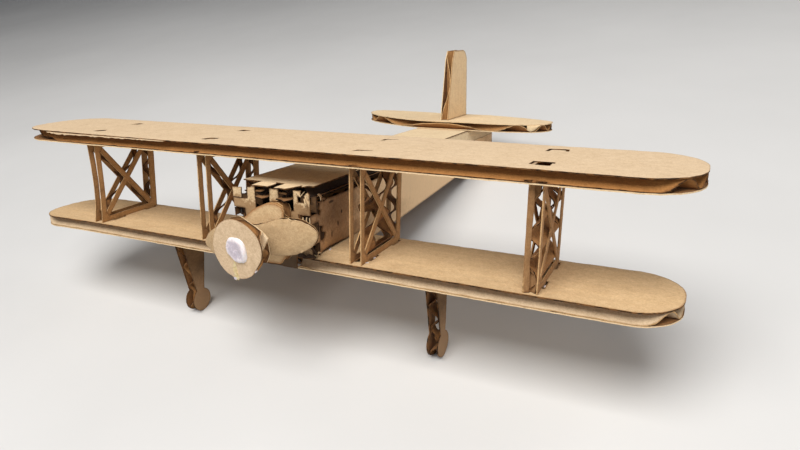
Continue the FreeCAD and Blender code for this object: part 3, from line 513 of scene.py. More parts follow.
# name: light, dark and burnt display colours, then the settings of kraft()
PAPERS = {
    "face_bright": ((217, 193, 161), (197, 170, 134), BURN, dict(
        stain=0.10, washboard=0.35, burn_width=0.30, burn_amount=0.55)),
    "face": ((212, 183, 142), (186, 154, 111), BURN, dict(stain=0.16, washboard=0.6)),
    "face_tail": ((236, 212, 175), (216, 188, 146), BURN, dict(
        stain=0.08, washboard=0.5, burn_width=0.35)),
    # brighter than face: painted light on the sides of the fin
    "face_fin_painted_light": ((244, 214, 172), (222, 188, 142), (118, 78, 42), dict(
        stain=0.15, washboard=0.7, burn_width=0.9)),
    "face_side": ((196, 156, 112), (158, 118, 78), (84, 54, 29), dict(
        stain=0.34, washboard=1.0, burn_width=0.9, mottle=0.6)),
    # brighter than face_side and carrying the pale patch: painted light on the right side
    "face_side_marked_painted_light": ((222, 176, 128), (178, 134, 92), (84, 54, 29), dict(
        stain=0.42, washboard=0.6, burn_width=0.9, mottle=0.6, marks=SIDE_MARKS_AND_PAINTED_LIGHT)),
    # darker frame card: soot from cutting, and painted shade from the upper wing
    "face_soot_and_shade": ((196, 150, 98), (156, 112, 68), (70, 44, 23), dict(
        stain=0.35, washboard=0.5, burn_width=0.5, burn_amount=0.45, soot=0.08)),
    "face_shaded": ((126, 92, 58), (88, 62, 38), (44, 28, 16), dict(
        stain=0.45, washboard=0.6, burn_width=0.8, burn_amount=0.7, soot=0.2, mottle=0.6)),
    "face_nose": ((232, 204, 162), (204, 172, 128), (88, 56, 28), dict(
        stain=0.2, washboard=0.4, burn_width=0.4, burn_amount=0.7, mottle=0.5,
        marks=NOSE_MARKS_AND_PAINTED_SHADE)),
    "face_disc": ((218, 193, 161), (190, 163, 129), (116, 76, 38), dict(
        stain=0.16, washboard=0.25, burn_width=0.3, burn_amount=0.5, mottle=0.4)),
    "inside": ((170, 124, 76), (128, 88, 50), (62, 38, 19), dict(
        stain=0.3, burn_width=0.8, soot=0.1)),
    "flute": ((164, 116, 66), (126, 84, 44), (54, 32, 16), dict(
        stain=0.3, burn_width=0.7, soot=0.1, fibre=1.2, mottle=0.4)),
    "flute_wing": ((184, 131, 74), (150, 101, 53), (92, 56, 26), dict(
        stain=0.2, burn_width=0.5, burn_amount=0.6)),
    "flute_warm": ((184, 136, 84), (148, 104, 60), (96, 60, 30), dict(
        stain=0.2, burn_width=0.35, burn_amount=0.4, fibre=1.2)),
    # pale flute for the lower wings: a lighter medium, made brighter still as painted light on the
    # leading edge
    "flute_pale": ((218, 195, 162), (192, 166, 132), (120, 84, 48), dict(
        stain=0.2, burn_width=0.35, burn_amount=0.3, fibre=1.2, mottle=0.4)),
    # near-black flute: painted shade for fluted layers seen in shadowed gaps, as under the deck's
    # edges and below the sides
    "flute_dark": ((74, 50, 30), (48, 31, 18), (24, 15, 9), dict(
        stain=0.4, burn_width=0.9, soot=0.3, fibre=1.2, mottle=0.4)),
    "face_propeller": ((198, 170, 132), (168, 138, 98), (116, 76, 38), dict(
        stain=0.14, washboard=0.25, burn_width=0.3, burn_amount=0.5, mottle=0.4)),
    # brighter cream for the spacer's front face: painted light where the disc shades it
    "face_cream_painted_light": ((254, 236, 204), (244, 220, 182), (170, 120, 70), dict(
        stain=0.06, washboard=0.2, burn_width=0.25, burn_amount=0.3, mottle=0.3)),
    "face_cream": ((238, 212, 172), (216, 186, 142), (150, 104, 58), dict(
        stain=0.1, washboard=0.2, burn_width=0.25, burn_amount=0.4)),
    "face_lobe": ((228, 198, 154), (204, 172, 128), (150, 92, 38), dict(
        stain=0.12, washboard=0.3, burn_width=1.1, burn_amount=0.85, mottle=0.45)),
    "liner_turned": ((160, 121, 80), (128, 93, 59), (96, 60, 30), dict(
        stain=0.2, burn_width=0.3, burn_amount=0.5, mottle=0.5)),
}
# name: pale, middle and charred colours, share charred
CUTS = {
    "cut_pale": ((214, 178, 130), (164, 122, 76), (72, 45, 22), 0.30),
    "cut_cream": ((240, 216, 178), (206, 172, 126), (110, 74, 40), 0.16),
    "cut_scorched": ((140, 98, 56), (96, 62, 33), (38, 24, 14), 0.62),
    "cut_charred": ((76, 48, 25), (50, 31, 17), (20, 13, 8), 0.72),
}
MATS = {}
for key, (light, dark, burn, settings) in PAPERS.items():
    MATS[key] = kraft("card_" + key, light, dark, burn, **settings)
for key, values in CUTS.items():
    MATS[key] = cut_edge("card_" + key, *values)


# ------------------------------------------------------------------ glue, wire, tube and rubber
def glue_material():
    net = Graph("hot_glue")
    card = net.card()
    broad = net.noise(card, scale=0.7, detail=4.0, distort=0.8)
    fine = net.noise(card, scale=2.6)
    border = net.frayed(net.edge(), broad, amount=0.9)
    colour = net.mix(net.span(border, start=0.58, end=0.94),
                     low=rgb(192, 182, 192), high=rgb(240, 233, 233))
    colour = net.tint(colour, broad, rgb(232, 224, 230), start=0.54, end=0.66, amount=0.5)
    colour = net.tint(colour, fine, rgb(212, 172, 166), start=0.58, end=0.72, amount=0.40)
    relief = net.math("ADD", broad, net.math("MULTIPLY", fine, 0.25))
    return net.surface({"Base Color": colour, "Roughness": net.span(fine, low=0.16, high=0.34),
                        "Specular IOR Level": 0.55, "Subsurface Weight": 0.35,
                        "Subsurface Radius": (0.9, 0.7, 0.6), "Subsurface Scale": 0.0009,
                        "Coat Weight": 0.35, "Coat Roughness": 0.1,
                        "Normal": net.bump(relief, strength=0.35, distance=0.0003)})


def glue_film_material():
    """A smear so thin that it takes the colour of the paper."""
    net = Graph("hot_glue_film")
    blot = net.noise(net.card(), scale=1.2, detail=4.0, rough=0.65, distort=0.6)
    colour = net.mix(net.span(blot, start=0.40, end=0.66),
                     low=rgb(206, 176, 128), high=rgb(226, 200, 154))
    return net.surface({"Base Color": colour, "Roughness": net.span(blot, low=0.18, high=0.4),
                        "Subsurface Weight": 0.3, "Subsurface Scale": 0.0008,
                        "Normal": net.bump(blot, strength=0.4, distance=0.0002)})


def wire_material():
    net = Graph("steel_wire")
    card = net.card()
    drawn = net.noise(card, scale=1.0, stretch=(9.0, 9.0, 0.5))
    patch = net.noise(card, scale=0.5, detail=4.0)
    colour = net.mix(net.span(drawn), low=rgb(120, 119, 116), high=rgb(188, 187, 183))
    colour = net.tint(colour, patch, rgb(96, 70, 48), start=0.58, end=0.74, amount=0.55)
    return net.surface({"Base Color": colour, "Roughness": net.span(drawn, low=0.22, high=0.46),
                        "Metallic": net.span(patch, start=0.62, end=0.76, low=1.0, high=0.45),
                        "Normal": net.bump(drawn, strength=0.3, distance=0.00004)})


def tube_material():
    net = Graph("bearing_tube_plastic")
    grain = net.noise(net.card(), scale=1.0, detail=4.0, stretch=(3, 3, 0.6))
    colour = net.mix(net.span(grain), low=rgb(196, 192, 180), high=rgb(232, 229, 218))
    return net.surface({"Base Color": colour, "Roughness": net.span(grain, low=0.25, high=0.5),
                        "Subsurface Weight": 0.15, "Subsurface Scale": 0.0006,
                        "Normal": net.bump(grain, strength=0.25, distance=0.00006)})


def rubber_material():
    net = Graph("rubber_strand")
    card = net.card()
    cloud = net.noise(card, scale=0.9, detail=4.0)
    streak = net.noise(card, scale=1.0, stretch=(0.25, 6.0, 6.0))
    colour = net.mix(net.span(cloud), low=rgb(146, 104, 58), high=rgb(188, 148, 92))
    colour = net.tint(colour, streak, rgb(120, 82, 44), start=0.55, end=0.75, amount=0.4)
    return net.surface({"Base Color": colour, "Roughness": net.span(cloud, low=0.5, high=0.72),
                        "Subsurface Weight": 0.2, "Subsurface Scale": 0.0008,
                        "Normal": net.bump(streak, strength=0.4, distance=0.00008)})


MATS["glue_film"] = glue_film_material()
MATS["glue"] = glue_material()
MATS["wire"] = wire_material()
MATS["tube"] = tube_material()
MATS["rubber"] = rubber_material()


# ------------------------------------------------------------------ corrugated boards
def settle(verts, node):
    """Centres a piece on the box of the CAD node it stands for."""
    row = to_row(verts)
    low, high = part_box(node)
    shift = (np.array(low) + np.array(high)) / 2 - (row.min(0) + row.max(0)) / 2
    if np.abs(shift).max() > 0.0012:
        raise RuntimeError("%s sits %s mm from its CAD node" % (node, np.round(shift * 1000, 2)))
    x, y, z = shift
    return verts + 1000.0 * np.array((x, y * LEAN_COS - z * LEAN_SIN, y * LEAN_SIN + z * LEAN_COS))


def liner_mesh(loops, grid, seed):
    """Triangles on a jittered grid, with a row of points just inside the cut."""
    every = np.concatenate(loops)
    low, high = every.min(0), every.max(0)
    x, y = np.meshgrid(*(np.arange(low[i] + grid[i] / 2, high[i], grid[i]) for i in (0, 1)))
    x, y = x.ravel(), y.ravel()
    points = np.column_stack((x, y))
    points = points + np.column_stack((noise(x, y, seed), noise(y, x, seed + 3))) * 0.25
    ring = np.concatenate([inset(loop, 0.6) for loop in loops])
    margin = np.concatenate((np.full(len(points), 0.95), np.full(len(ring), 0.5)))
    points = np.concatenate((points, ring))
    keep = inside(points, loops) & (distance(points, loops) > margin)
    flat, faces = triangulate(loops, points[keep], [], 1.0)
    return flat, faces, distance(flat, loops)


def medium_mesh(loops, valley, seed):
    """The fluted layer: flat triangles, lower and upper heights, and distance from the cut."""
    every = np.concatenate(loops)
    low, high = every.min(0), every.max(0)
    row_gap, row_step = PITCH / 14, 5.0
    rows = []
    for k in range(math.floor((low[1] - valley) / row_gap),
                   math.ceil((high[1] - valley) / row_gap) + 1):
        y = valley + k * row_gap + 1e-4
        if low[1] < y < high[1]:
            xs = np.arange(low[0] - 1.0, high[0] + 1.0 + row_step, row_step)
            rows.append(np.column_stack((xs, np.full(len(xs), y))))
    flat, faces = triangulate(loops, [], rows, 0.25)
    x, y = flat[:, 0], flat[:, 1]
    phase = 2 * math.pi * (y - valley) / PITCH
    phase = phase + 0.10 * fractal(x / 24.0, y / 9.0, seed + 40)  # flutes wander a little
    swing = (THICK - 2 * LINER - MEDIUM) / 2
    wave = np.cos(phase)
    wave = np.sign(wave) * np.abs(wave) ** 0.86  # rounder crests than a cosine
    gap = distance(flat, loops)
    dent = np.exp(-gap / 0.8) * 0.22 * fractal(x * 0.5, y * 0.9, seed + 60)
    middle = np.clip(THICK / 2 - swing * wave + dent, LINER + MEDIUM / 2,
                     THICK - LINER - MEDIUM / 2)
    slope = swing * 2 * math.pi / PITCH * np.abs(np.sin(phase))
    half = MEDIUM / 2 * np.sqrt(1 + slope ** 2)
    return flat, faces, middle - half, middle + half, gap


def board(node, body, origin, along, across, upper, lower=None, middle=None, *, valley, seed,
          recess=0.25, rough=0.05, faces=("face", "face"),
          edges=("cut_pale", "cut_pale", "cut_scorched"), flute="flute", inner="inside",
          local_warp=None, warp=None, curl=0.12, reach=0.7, step=1.3, grid=(4.0, 1.35),
          fit=True):
    """A piece of single-wall corrugated card with its flutes along local X.

    upper, lower and middle are (outline, holes) of each layer; lower and middle default to
    upper. valley is a local Y where the medium meets the lower liner, recess sets the medium
    back from the cut, rough is the wander of the cut, and curl and reach are how far the liners
    bend in at the cut. faces are lower and upper; edges are lower, upper and medium."""
    frame = [np.array(axis, float) / np.linalg.norm(axis) for axis in (along, across)]
    frame = np.array(frame + [np.cross(*frame)])
    build = Build(seed)

    def cut_loops(layer, back, cut_seed, amount):
        outline, holes = layer
        loops = [wound(outline, True)] + [wound(hole, False) for hole in holes]
        return [ragged(resample(inset(loop, back), step), amount, cut_seed + 7 * i)
                for i, loop in enumerate(loops)]

    for layer, bottom, sign, cut_seed, kinds in (
            (lower or upper, 0.0, 1.0, seed * 11 + 1, (0, 2, 4)),
            (upper, THICK - LINER, -1.0, seed * 11 + 2, (2, 1, 5))):
        flat, tris, gap = liner_mesh(cut_loops(layer, 0.0, cut_seed, rough), grid, cut_seed)
        uneven = 0.75 + 0.5 * noise(flat[:, 0] * 0.8, flat[:, 1] * 0.8, cut_seed + 5)
        lip = sign * curl * np.exp(-gap / reach) * uneven
        build.slab(flat, tris, bottom + lip, bottom + LINER + lip, gap, kinds)
    loops = cut_loops(middle or upper, recess, seed * 11 + 3, rough * 1.6)
    build.slab(*medium_mesh(loops, valley, seed), (3, 3, 6))

    local = np.concatenate(build.verts)
    if local_warp is not None:
        local = local_warp(local)
    verts = np.array(origin, float) + local @ frame
    if fit:
        verts = settle(verts, node)
    if warp is not None:
        verts = warp(verts)
    build.finish(node + "_card", [*faces, inner, flute, *edges], verts, 40.0, body, node)


# ------------------------------------------------------------------ wings
def slot(x, y, size=5.0):
    return rect(x - size / 2, y - size / 2, x + size / 2, y + size / 2)


def upper_warp(verts):
    x, y, z = verts.T
    out = verts.copy()
    out[:, 2] += (0.10 * fractal(x / 38.0, y / 24.0, 5)
                  * np.minimum(1.0, np.abs(np.abs(x) - 53) / 60 + 0.5))
    # the upper side lifts at the front of the left tip
    tip = np.clip((-x - 62.0) / 50.0, 0, 1) * np.clip((-y - 6.0) / 9.0, 0, 1)
    out[:, 2] += 0.28 * tip * (z > -2.0)
    return out


UPPER_OUTLINE = rounded(rect(-115.3, -15.4, 115.3, 15.6), [14, 14, 14, 14], 14)
UPPER_SLOTS = [slot(x, y) for x in (-STRUT_OUTER, -STRUT_INNER, STRUT_INNER, STRUT_OUTER)
               for y in (-POST_Y, POST_Y)]
# openings in the top liner, only part of each slot: slot centre, then (x, y) from it
MOUTHS = [
    (STRUT_INNER, -POST_Y, [(-2.4, -2.3), (-1.4, -0.8), (0.4, -0.6), (3.0, 0.1), (3.0, -0.4),
                            (0.4, -1.5), (-1.0, -1.9)]),
    (STRUT_INNER, POST_Y, [(-2.2, -1.4), (-1.9, 0.9), (-1.2, 1.2), (2.3, 1.9), (2.4, 1.65),
                           (-0.9, 0.75), (-1.1, -1.0)]),
    (STRUT_OUTER, -POST_Y, [(-2.9, -2.3), (-2.7, 1.3), (2.7, 1.5), (2.9, 0.3), (2.25, 0.2),
                            (2.3, -2.7), (-1.3, -2.8), (-1.2, 0.0), (-2.0, 0.1), (-2.2, -2.2)]),
    (STRUT_OUTER, POST_Y, [(-2.9, -1.0), (-2.7, 2.8), (2.7, 3.1), (3.0, 0.4), (2.3, 0.3),
                           (2.0, 1.8), (-1.7, 1.5), (-2.0, -0.8)]),
    (-STRUT_INNER, -POST_Y, [(-2.6, -1.6), (-0.9, 0.9), (2.2, 1.4), (2.5, 0.4), (0.5, -0.9),
                             (-0.4, -1.9)]),
    (-STRUT_INNER, POST_Y, [(-2.0, -1.2), (-0.9, 1.3), (2.2, 1.3), (1.8, 0.2), (0.1, -0.9)]),
    (-STRUT_OUTER, -POST_Y, [(-2.2, -1.7), (-0.5, 1.5), (1.5, 1.3), (1.9, 0.2), (0.1, -1.7)]),
    (-STRUT_OUTER, POST_Y, [(-2.2, -1.4), (-0.5, 1.5), (1.7, 1.3), (1.0, -0.8)]),
]
# small openings in the medium along the leading edge
PRICKS = [rect(75.8, -15.0, 77.4, -14.2), rect(78.6, -15.0, 81.0, -14.3),
          rect(27.0, -14.9, 29.4, -14.4), rect(-29.4, -15.0, -27.6, -14.2)]
# the medium is set further back at the front of the left tip
torn = resample(wound(UPPER_OUTLINE, True), 1.3)
set_back = (1.9 * np.clip((-torn[:, 0] - 93.0) / 5.0, 0, 1)
            * np.clip((3.0 - torn[:, 1]) / 8.0, 0, 1))
torn = inset(torn, set_back[:, None])
board("upper_wing", "airframe", (0, 0, UPPER_Z), (1, 0, 0), (0, 1, 0),
      upper=(UPPER_OUTLINE, [np.array(points) + (x, y) for x, y, points in MOUTHS]),
      lower=(UPPER_OUTLINE, UPPER_SLOTS), middle=(torn, UPPER_SLOTS + PRICKS),
      valley=-14.8, seed=1, faces=("face", "face_bright"),
      edges=("cut_cream", "cut_scorched", "cut_scorched"), warp=upper_warp, recess=0.16,
      flute="flute_wing")


def lower_wing(node, side, seed):
    root, tip, front, rear, radius = 8.1, 113.9, -15.8, 11.1, 12.2
    if side < 0:
        outline, radii = rect(-tip, front, -root, rear), [radius, 0, 0, radius]
    else:
        outline, radii = rect(root, front, tip, rear), [0, radius, radius, 0]

    def warp(verts):
        x, y, _ = verts.T
        out = verts.copy()
        if side < 0:  # the left tip droops
            droop = np.clip((-x - 82.0) / 32.0, 0, 1)
            out[:, 2] -= 0.7 * droop * droop
        out[:, 2] += 0.08 * fractal(x / 33.0, y / 21.0, 9 + side)
        return out

    slots = [slot(x * side, y) for x in (STRUT_INNER, STRUT_OUTER) for y in (-POST_Y, LOW_AFT_Y)]
    board(node, "airframe", (0, 0, LOWER_Z), (1, 0, 0), (0, 1, 0),
          (rounded(outline, radii, 14), slots), valley=-15.2, seed=seed,
          edges=("cut_cream", "cut_scorched", "cut_pale"), warp=warp, recess=0.14,
          flute="flute_pale")


lower_wing("lower_wing_left", -1, 2)
lower_wing("lower_wing_right", 1, 3)

# ------------------------------------------------------------------ strut frames
FRAME_TOP = (-13.1, 12.8)   # front and rear y at the upper wing
FRAME_FOOT = (-15.2, 9.9)   # and at the lower wing
TENON_HALF, TENON_LONG = 2.2, 2.9
FRONT_POST, REAR_POST, LOW_BAR, TOP_BAR, BRACE = 1.9, 2.6, 1.8, 1.6, 1.9


def front_edge(z, post=0.0):
    share = (z - LOWER_TOP) / (UPPER_Z - LOWER_TOP)
    return FRAME_FOOT[0] + (FRAME_TOP[0] - FRAME_FOOT[0]) * share + post


def frame_shape():
    """Outline and openings (bottom, top, front, rear) of a raked, cross-braced frame."""
    def tenon(y, z, direction):
        ends = (y - TENON_HALF * direction, y + TENON_HALF * direction)
        tip = z - TENON_LONG * direction
        return [(ends[0], z), (ends[0], tip), (ends[1], tip), (ends[1], z)]

    line = ([(FRAME_FOOT[0], LOWER_TOP)] + tenon(-POST_Y, LOWER_TOP, 1)
            + tenon(LOW_AFT_Y, LOWER_TOP, 1) + [(FRAME_FOOT[1], LOWER_TOP)]
            + [(FRAME_TOP[1], UPPER_Z)] + tenon(POST_Y, UPPER_Z, -1)
            + tenon(-POST_Y, UPPER_Z, -1) + [(FRAME_TOP[0], UPPER_Z)])
    z_low, z_high = LOWER_TOP + LOW_BAR, UPPER_Z - TOP_BAR
    rise, total = z_high - z_low, UPPER_Z - LOWER_TOP
    shares = ((z_low - LOWER_TOP) / total, (z_high - LOWER_TOP) / total)
    front_low, front_high = [FRAME_FOOT[0] + (FRAME_TOP[0] - FRAME_FOOT[0]) * share + FRONT_POST
                             for share in shares]
    rear_low, rear_high = [FRAME_FOOT[1] + (FRAME_TOP[1] - FRAME_FOOT[1]) * share - REAR_POST
                           for share in shares]
    # change in y of each line over the rise, and half the level width of each brace
    aft, fore = rear_high - front_low, front_high - rear_low
    front, rear = front_high - front_low, rear_high - rear_low
    aft_half = BRACE / 2 * math.hypot(aft, rise) / rise
    fore_half = BRACE / 2 * math.hypot(fore, rise) / rise
    gap, spread = rear_low - front_low, aft - fore

    def spot(k, start, run):
        return start + k * run, z_low + rise * k

    def crossing(fore_side, aft_side):
        """Where an edge of one brace meets an edge of the other; -1 is the forward edge."""
        k = (gap + fore_side * fore_half - aft_side * aft_half) / spread
        return spot(k, front_low + aft_side * aft_half, aft)

    holes = [
        [(front_low + aft_half, z_low), (rear_low - fore_half, z_low), crossing(-1, 1)],
        [(rear_high - aft_half, z_high), (front_high + fore_half, z_high), crossing(1, -1)],
        [spot(aft_half / (aft - front), front_low, front), crossing(-1, -1),
         spot((gap - fore_half) / (front - fore), front_low, front)],
        [spot(fore_half / (rear - fore), rear_low, rear),
         spot((gap - aft_half) / (aft - rear), rear_low, rear), crossing(1, 1)]]
    return line, [np.array(hole) for hole in holes]


def shrink(loop, k, shift=(0, 0)):
    return loop * k + loop.mean(0) * (1 - k) + np.array(shift)


def bowed(verts):
    """The front edge bows to +X between the wings."""
    out = verts.copy()
    rise = np.clip((verts[:, 1] - LOWER_TOP) / (UPPER_Z - LOWER_TOP), 0, 1)
    fore = np.clip((front_edge(verts[:, 1]) + 3.2 - verts[:, 0]) / 1.2, 0, 1)
    out[:, 2] += 1.35 * np.sin(math.pi * rise ** 0.85) * fore * (1.0 - 0.55 * verts[:, 2] / THICK)
    return out


def strut_frame(place, x, seed):
    line, holes = frame_shape()
    bottom, top, front, rear = holes
    low, cross, high = [tuple(point) for point in front]
    # the fluted layer is missing from the front post and from the opening behind it
    open_front = ([(front_edge(LOWER_TOP, 1.7), LOWER_TOP)] + line[1:-1]
                  + [(front_edge(UPPER_Z, 1.7), UPPER_Z)])
    if place == "right_outer":
        # here it stands across most of the openings
        middle = ([(front_edge(LOWER_TOP, 0.5), LOWER_TOP)] + line[1:-1]
                  + [(front_edge(UPPER_Z, 0.5), UPPER_Z), (front_edge(-6.9, 0.5), -6.9),
                     (-11.0, -7.7), (-9.2, -9.0), (-8.6, -11.4), (-10.4, -13.0),
                     (front_edge(-13.6, 1.0), -13.6)])
        middle_holes = [shrink(top, 0.72), shrink(rear, 0.45, (0.6, 3.0))]
    elif place == "right_inner":
        middle = open_front + [high, (cross[0] - 0.6, cross[1] + 0.9), (-9.6, -12.2),
                               (-10.8, -14.4), (-9.2, -18.6), (cross[0] - 0.6, cross[1] - 0.9),
                               low]
        middle_holes = [top, shrink(rear, 0.6), shrink(bottom, 0.5, (1.5, -0.5))]
    else:
        middle = open_front + [high, cross, low]
        middle_holes = [bottom, top, rear]
    # the frames' darker card is soot and painted shade from the upper wing
    board("strut_frame_" + place, "airframe", (x - THICK / 2, 0, 0), (0, 1, 0), (0, 0, 1),
          (np.array(line), holes), middle=(np.array(middle), middle_holes),
          valley=LOWER_TOP - TENON_LONG + 2.2, seed=seed, faces=("face_soot_and_shade", "face_soot_and_shade"),
          recess=0.22, step=1.0, grid=(2.2, 1.4), curl=0.06, inner="face_soot_and_shade",
          flute="flute_warm" if place == "right_outer" else "flute",
          local_warp=bowed if place == "left_outer" else None)


strut_frame("left_outer", -STRUT_OUTER, 5)
strut_frame("left_inner", -STRUT_INNER, 6)
strut_frame("right_inner", STRUT_INNER, 7)
strut_frame("right_outer", STRUT_OUTER, 8)

# ------------------------------------------------------------------ fuselage
# finger joints between sides and nose plate: top and bottom, as depths below z = 0
FINGERS = [(19.2, 21.7), (25.7, 28.2)]


def side_outline(lip, clear=0.0):
    """Side in local (z, -y). lip raises the top edge against the underside of the deck;
    clear hollows the lower front edge."""
    front = -BOX_FRONT
    points = [(LOWER_TOP, front)]
    for top, low in reversed(FINGERS):
        points += [(-low, front), (-low, front + THICK), (-top, front + THICK), (-top, front)]
    points += [(deck_top(y) - THICK + lip, -y) for y in (BOX_FRONT, BOX_END)]
    points += [(-30.9, -BOX_END), (-33.7, -98.0), (-36.4, -43.5), (-36.9, -11.3),
               (LOWER_TOP, -11.3)]
    if clear:
        points += [(LOWER_TOP + 0.15, -6.0), (LOWER_TOP + 0.75 * clear, 0.5),
                   (LOWER_TOP + clear, 6.0), (LOWER_TOP + 0.8 * clear, 10.5),
                   (LOWER_TOP + 0.2, 11.6)]
    return np.array(points)


# rips in the outer liner of the right side, near the nose: (z, -y)
RIPS = [
    np.array([(-15.6, 11.6), (-16.6, 10.7), (-18.2, 11.2), (-19.0, 10.4), (-20.0, 10.9),
              (-19.6, 11.8), (-17.5, 11.75)]),
    np.array([(-15.2, 9.3), (-15.5, 7.6), (-16.3, 7.3), (-16.6, 8.3), (-16.0, 9.5)]),
    np.array([(-23.2, 11.7), (-23.9, 9.6), (-25.3, 10.4), (-26.2, 8.7), (-27.6, 9.0),
              (-28.4, 10.2), (-27.4, 11.5), (-25.2, 11.2)])]
# side: x of the lower face, layers, faces, seed
SIDES = {
    "left": (-WALL - THICK, (side_outline(-0.05), []), (side_outline(-0.9), []),
             ("face_side", "face_shaded"), 9),
    "right": (WALL, (side_outline(-0.9, clear=0.95), RIPS), (side_outline(-0.05), []),
              ("face_shaded", "face_side_marked_painted_light"), 10)}
# the sides' near-black flute is painted shade in the gaps under the deck and along the hollowed
# lower front edge
for side, (x, upper, lower, faces, seed) in SIDES.items():
    board("fuselage_side_" + side, "airframe", (x, 0, 0), (0, 0, 1), (0, -1, 0), upper, lower,
          (side_outline(-1.4, clear=0.95), []), valley=-BOX_END + 0.4, seed=seed, faces=faces,
          edges=("cut_scorched", "cut_scorched", "cut_charred"), grid=(2.2, 1.35), fit=False,
          rough=0.09, flute="flute_dark")

DECK_HALF = 12.9


def deck_layer(left_tab, right_tab, half=DECK_HALF):
    """The tabs are the front edges, as (local X aft, local Y towards the left) points."""
    front, rear = 0.1, 165.0 / math.cos(math.atan(DECK_SLOPE))
    line = ([(front, half)] + left_tab + right_tab
            + [(front, -half), (rear, -half), (rear, half)])
    return np.array(line), []


# the deck's near-black flute and charred cut edges are charring and painted shade along its edges
board("deck", "airframe", (0, BOX_FRONT, deck_top(BOX_FRONT) - THICK), (0, 1, -DECK_SLOPE),
      (-1, 0, 0),
      upper=deck_layer([(0.1, 5.6), (-3.9, 5.6), (-5.75, 5.1), (-5.0, 2.2), (-5.3, -0.4),
                        (-1.0, -0.5), (0.1, 0.4)],
                       [(0.1, -2.7), (-3.2, -2.8), (-6.2, -3.2), (-5.5, -5.0), (-5.8, -6.9),
                        (-3.0, -8.2), (-0.4, -9.0), (-1.9, -10.1), (0.1, -11.2)]),
      lower=deck_layer([(0.1, 4.9), (-5.1, 4.8), (-5.9, 3.2), (-6.5, 1.1), (-4.6, 0.5),
                        (0.1, 0.4)],
                       [(0.1, -3.0), (-5.0, -2.9), (-5.4, -5.0), (-6.9, -7.2), (-4.5, -7.9),
                        (0.1, -8.0)]),
      middle=deck_layer([(0.1, 5.2), (-3.6, 5.2), (-3.4, 0.6), (0.1, 0.6)],
                        [(0.1, -3.4), (-3.7, -3.4), (-3.5, -7.8), (0.1, -7.8)],
                        half=DECK_HALF - 0.8),
      valley=-DECK_HALF + 1.0, seed=12, faces=("face_shaded", "face_tail"),
      edges=("cut_charred", "cut_scorched", "cut_charred"), fit=False, flute="flute_dark",
      recess=0.3, rough=0.10)

INNER_HALF = 9.95  # half width of pieces between the sides
BELLY = [(0.2, 8.0), (0.2, -8.0), (23.3, -8.0), (23.3, -INNER_HALF), (163.0, -INNER_HALF),
         (163.0, INNER_HALF), (23.3, INNER_HALF), (23.3, 8.0)]
board("belly_plate", "airframe", (0, BOX_FRONT, LOWER_Z), (0, 1, BELLY_SLOPE), (-1, 0, 0),
      (np.array(BELLY), []), valley=-INNER_HALF + 1.6, seed=13, faces=("face_side", "face_side"),
      edges=("cut_scorched", "cut_scorched", "cut_charred"))

# upper edge of the nose plate from right to left, in the front liner: (x, z)
TOOTH_Z = -12.1
TEETH = [(14.0, TOOTH_Z - 0.5), (13.5, TOOTH_Z + 0.1), (12.3, TOOTH_Z - 0.9), (12.2, -15.2),
         (9.9, -15.3), (9.8, -13.5), (11.0, -13.3), (11.1, -11.7), (8.5, -11.9), (8.25, -18.0),
         (5.5, -18.4), (3.0, -18.0), (3.1, TOOTH_Z + 0.2), (1.9, TOOTH_Z - 0.1),
         (-0.15, TOOTH_Z + 0.1), (-0.4, -18.4), (-3.2, -18.0), (-5.6, -18.4),
         (-5.5, TOOTH_Z + 0.1), (-8.3, TOOTH_Z - 0.2), (-8.5, -15.9), (-10.8, -16.1),
         (-10.6, TOOTH_Z - 0.5), (-14.0, TOOTH_Z - 0.7)]
# and in the two layers behind it
BACK_TEETH = [(14.0, -13.9), (12.2, -14.4), (12.2, -16.4), (10.7, -16.4), (10.7, -14.6),
              (8.25, -14.4), (8.25, -18.8), (3.0, -18.8), (3.0, -14.6), (-0.15, -14.8),
              (-0.15, -19.0), (-5.6, -19.0), (-5.6, -14.6), (-8.2, -14.9), (-8.2, -17.4),
              (-10.7, -17.4), (-10.7, -15.6), (-14.0, -15.8)]
TUBE_HOLE = circle(0, SHAFT_Z, 1.25)


def nose_layer(teeth):
    gap, wide, tongue = 0.2, WALL + THICK, 8.0

    def edge(side):
        out = [(wide * side, LOWER_TOP)]
        deep = WALL * side - gap * side
        for top, low in reversed(FINGERS):
            out += [(wide * side, -low - gap), (deep, -low - gap), (deep, -top + gap),
                    (wide * side, -top + gap)]
        return out

    line = (edge(1) + teeth + edge(-1)[::-1]
            + [(-tongue, LOWER_TOP), (-tongue, LOWER_Z), (tongue, LOWER_Z), (tongue, LOWER_TOP)])
    return np.array(line, float), [TUBE_HOLE]


board("nose_plate", "airframe", (0, BOX_FRONT, 0), (1, 0, 0), (0, 0, 1), nose_layer(TEETH),
      nose_layer(BACK_TEETH), nose_layer(BACK_TEETH), valley=LOWER_Z + 0.4, seed=14,
      faces=("face_shaded", "face_nose"), edges=("cut_charred", "cut_scorched", "cut_charred"),
      flute="flute_dark", inner="face_shaded", step=0.8, grid=(1.6, 1.35), rough=0.14,
      recess=0.8, fit=False)

# x, height above the shaft, corner radius
LOBE = [(-8.4, -1, 2), (-8.0, 3.2, 2), (-6.7, 5.3, 2), (-2.6, 8.3, 3), (1.3, 10.1, 2),
        (4.9, 10.4, 1.2), (6.9, 9.7, 0.8), (7.6, 8.2, 0.4), (7.6, -5.0, 1), (5.2, -8.2, 2),
        (-3.6, -8.4, 2), (-7.2, -5.6, 2)]
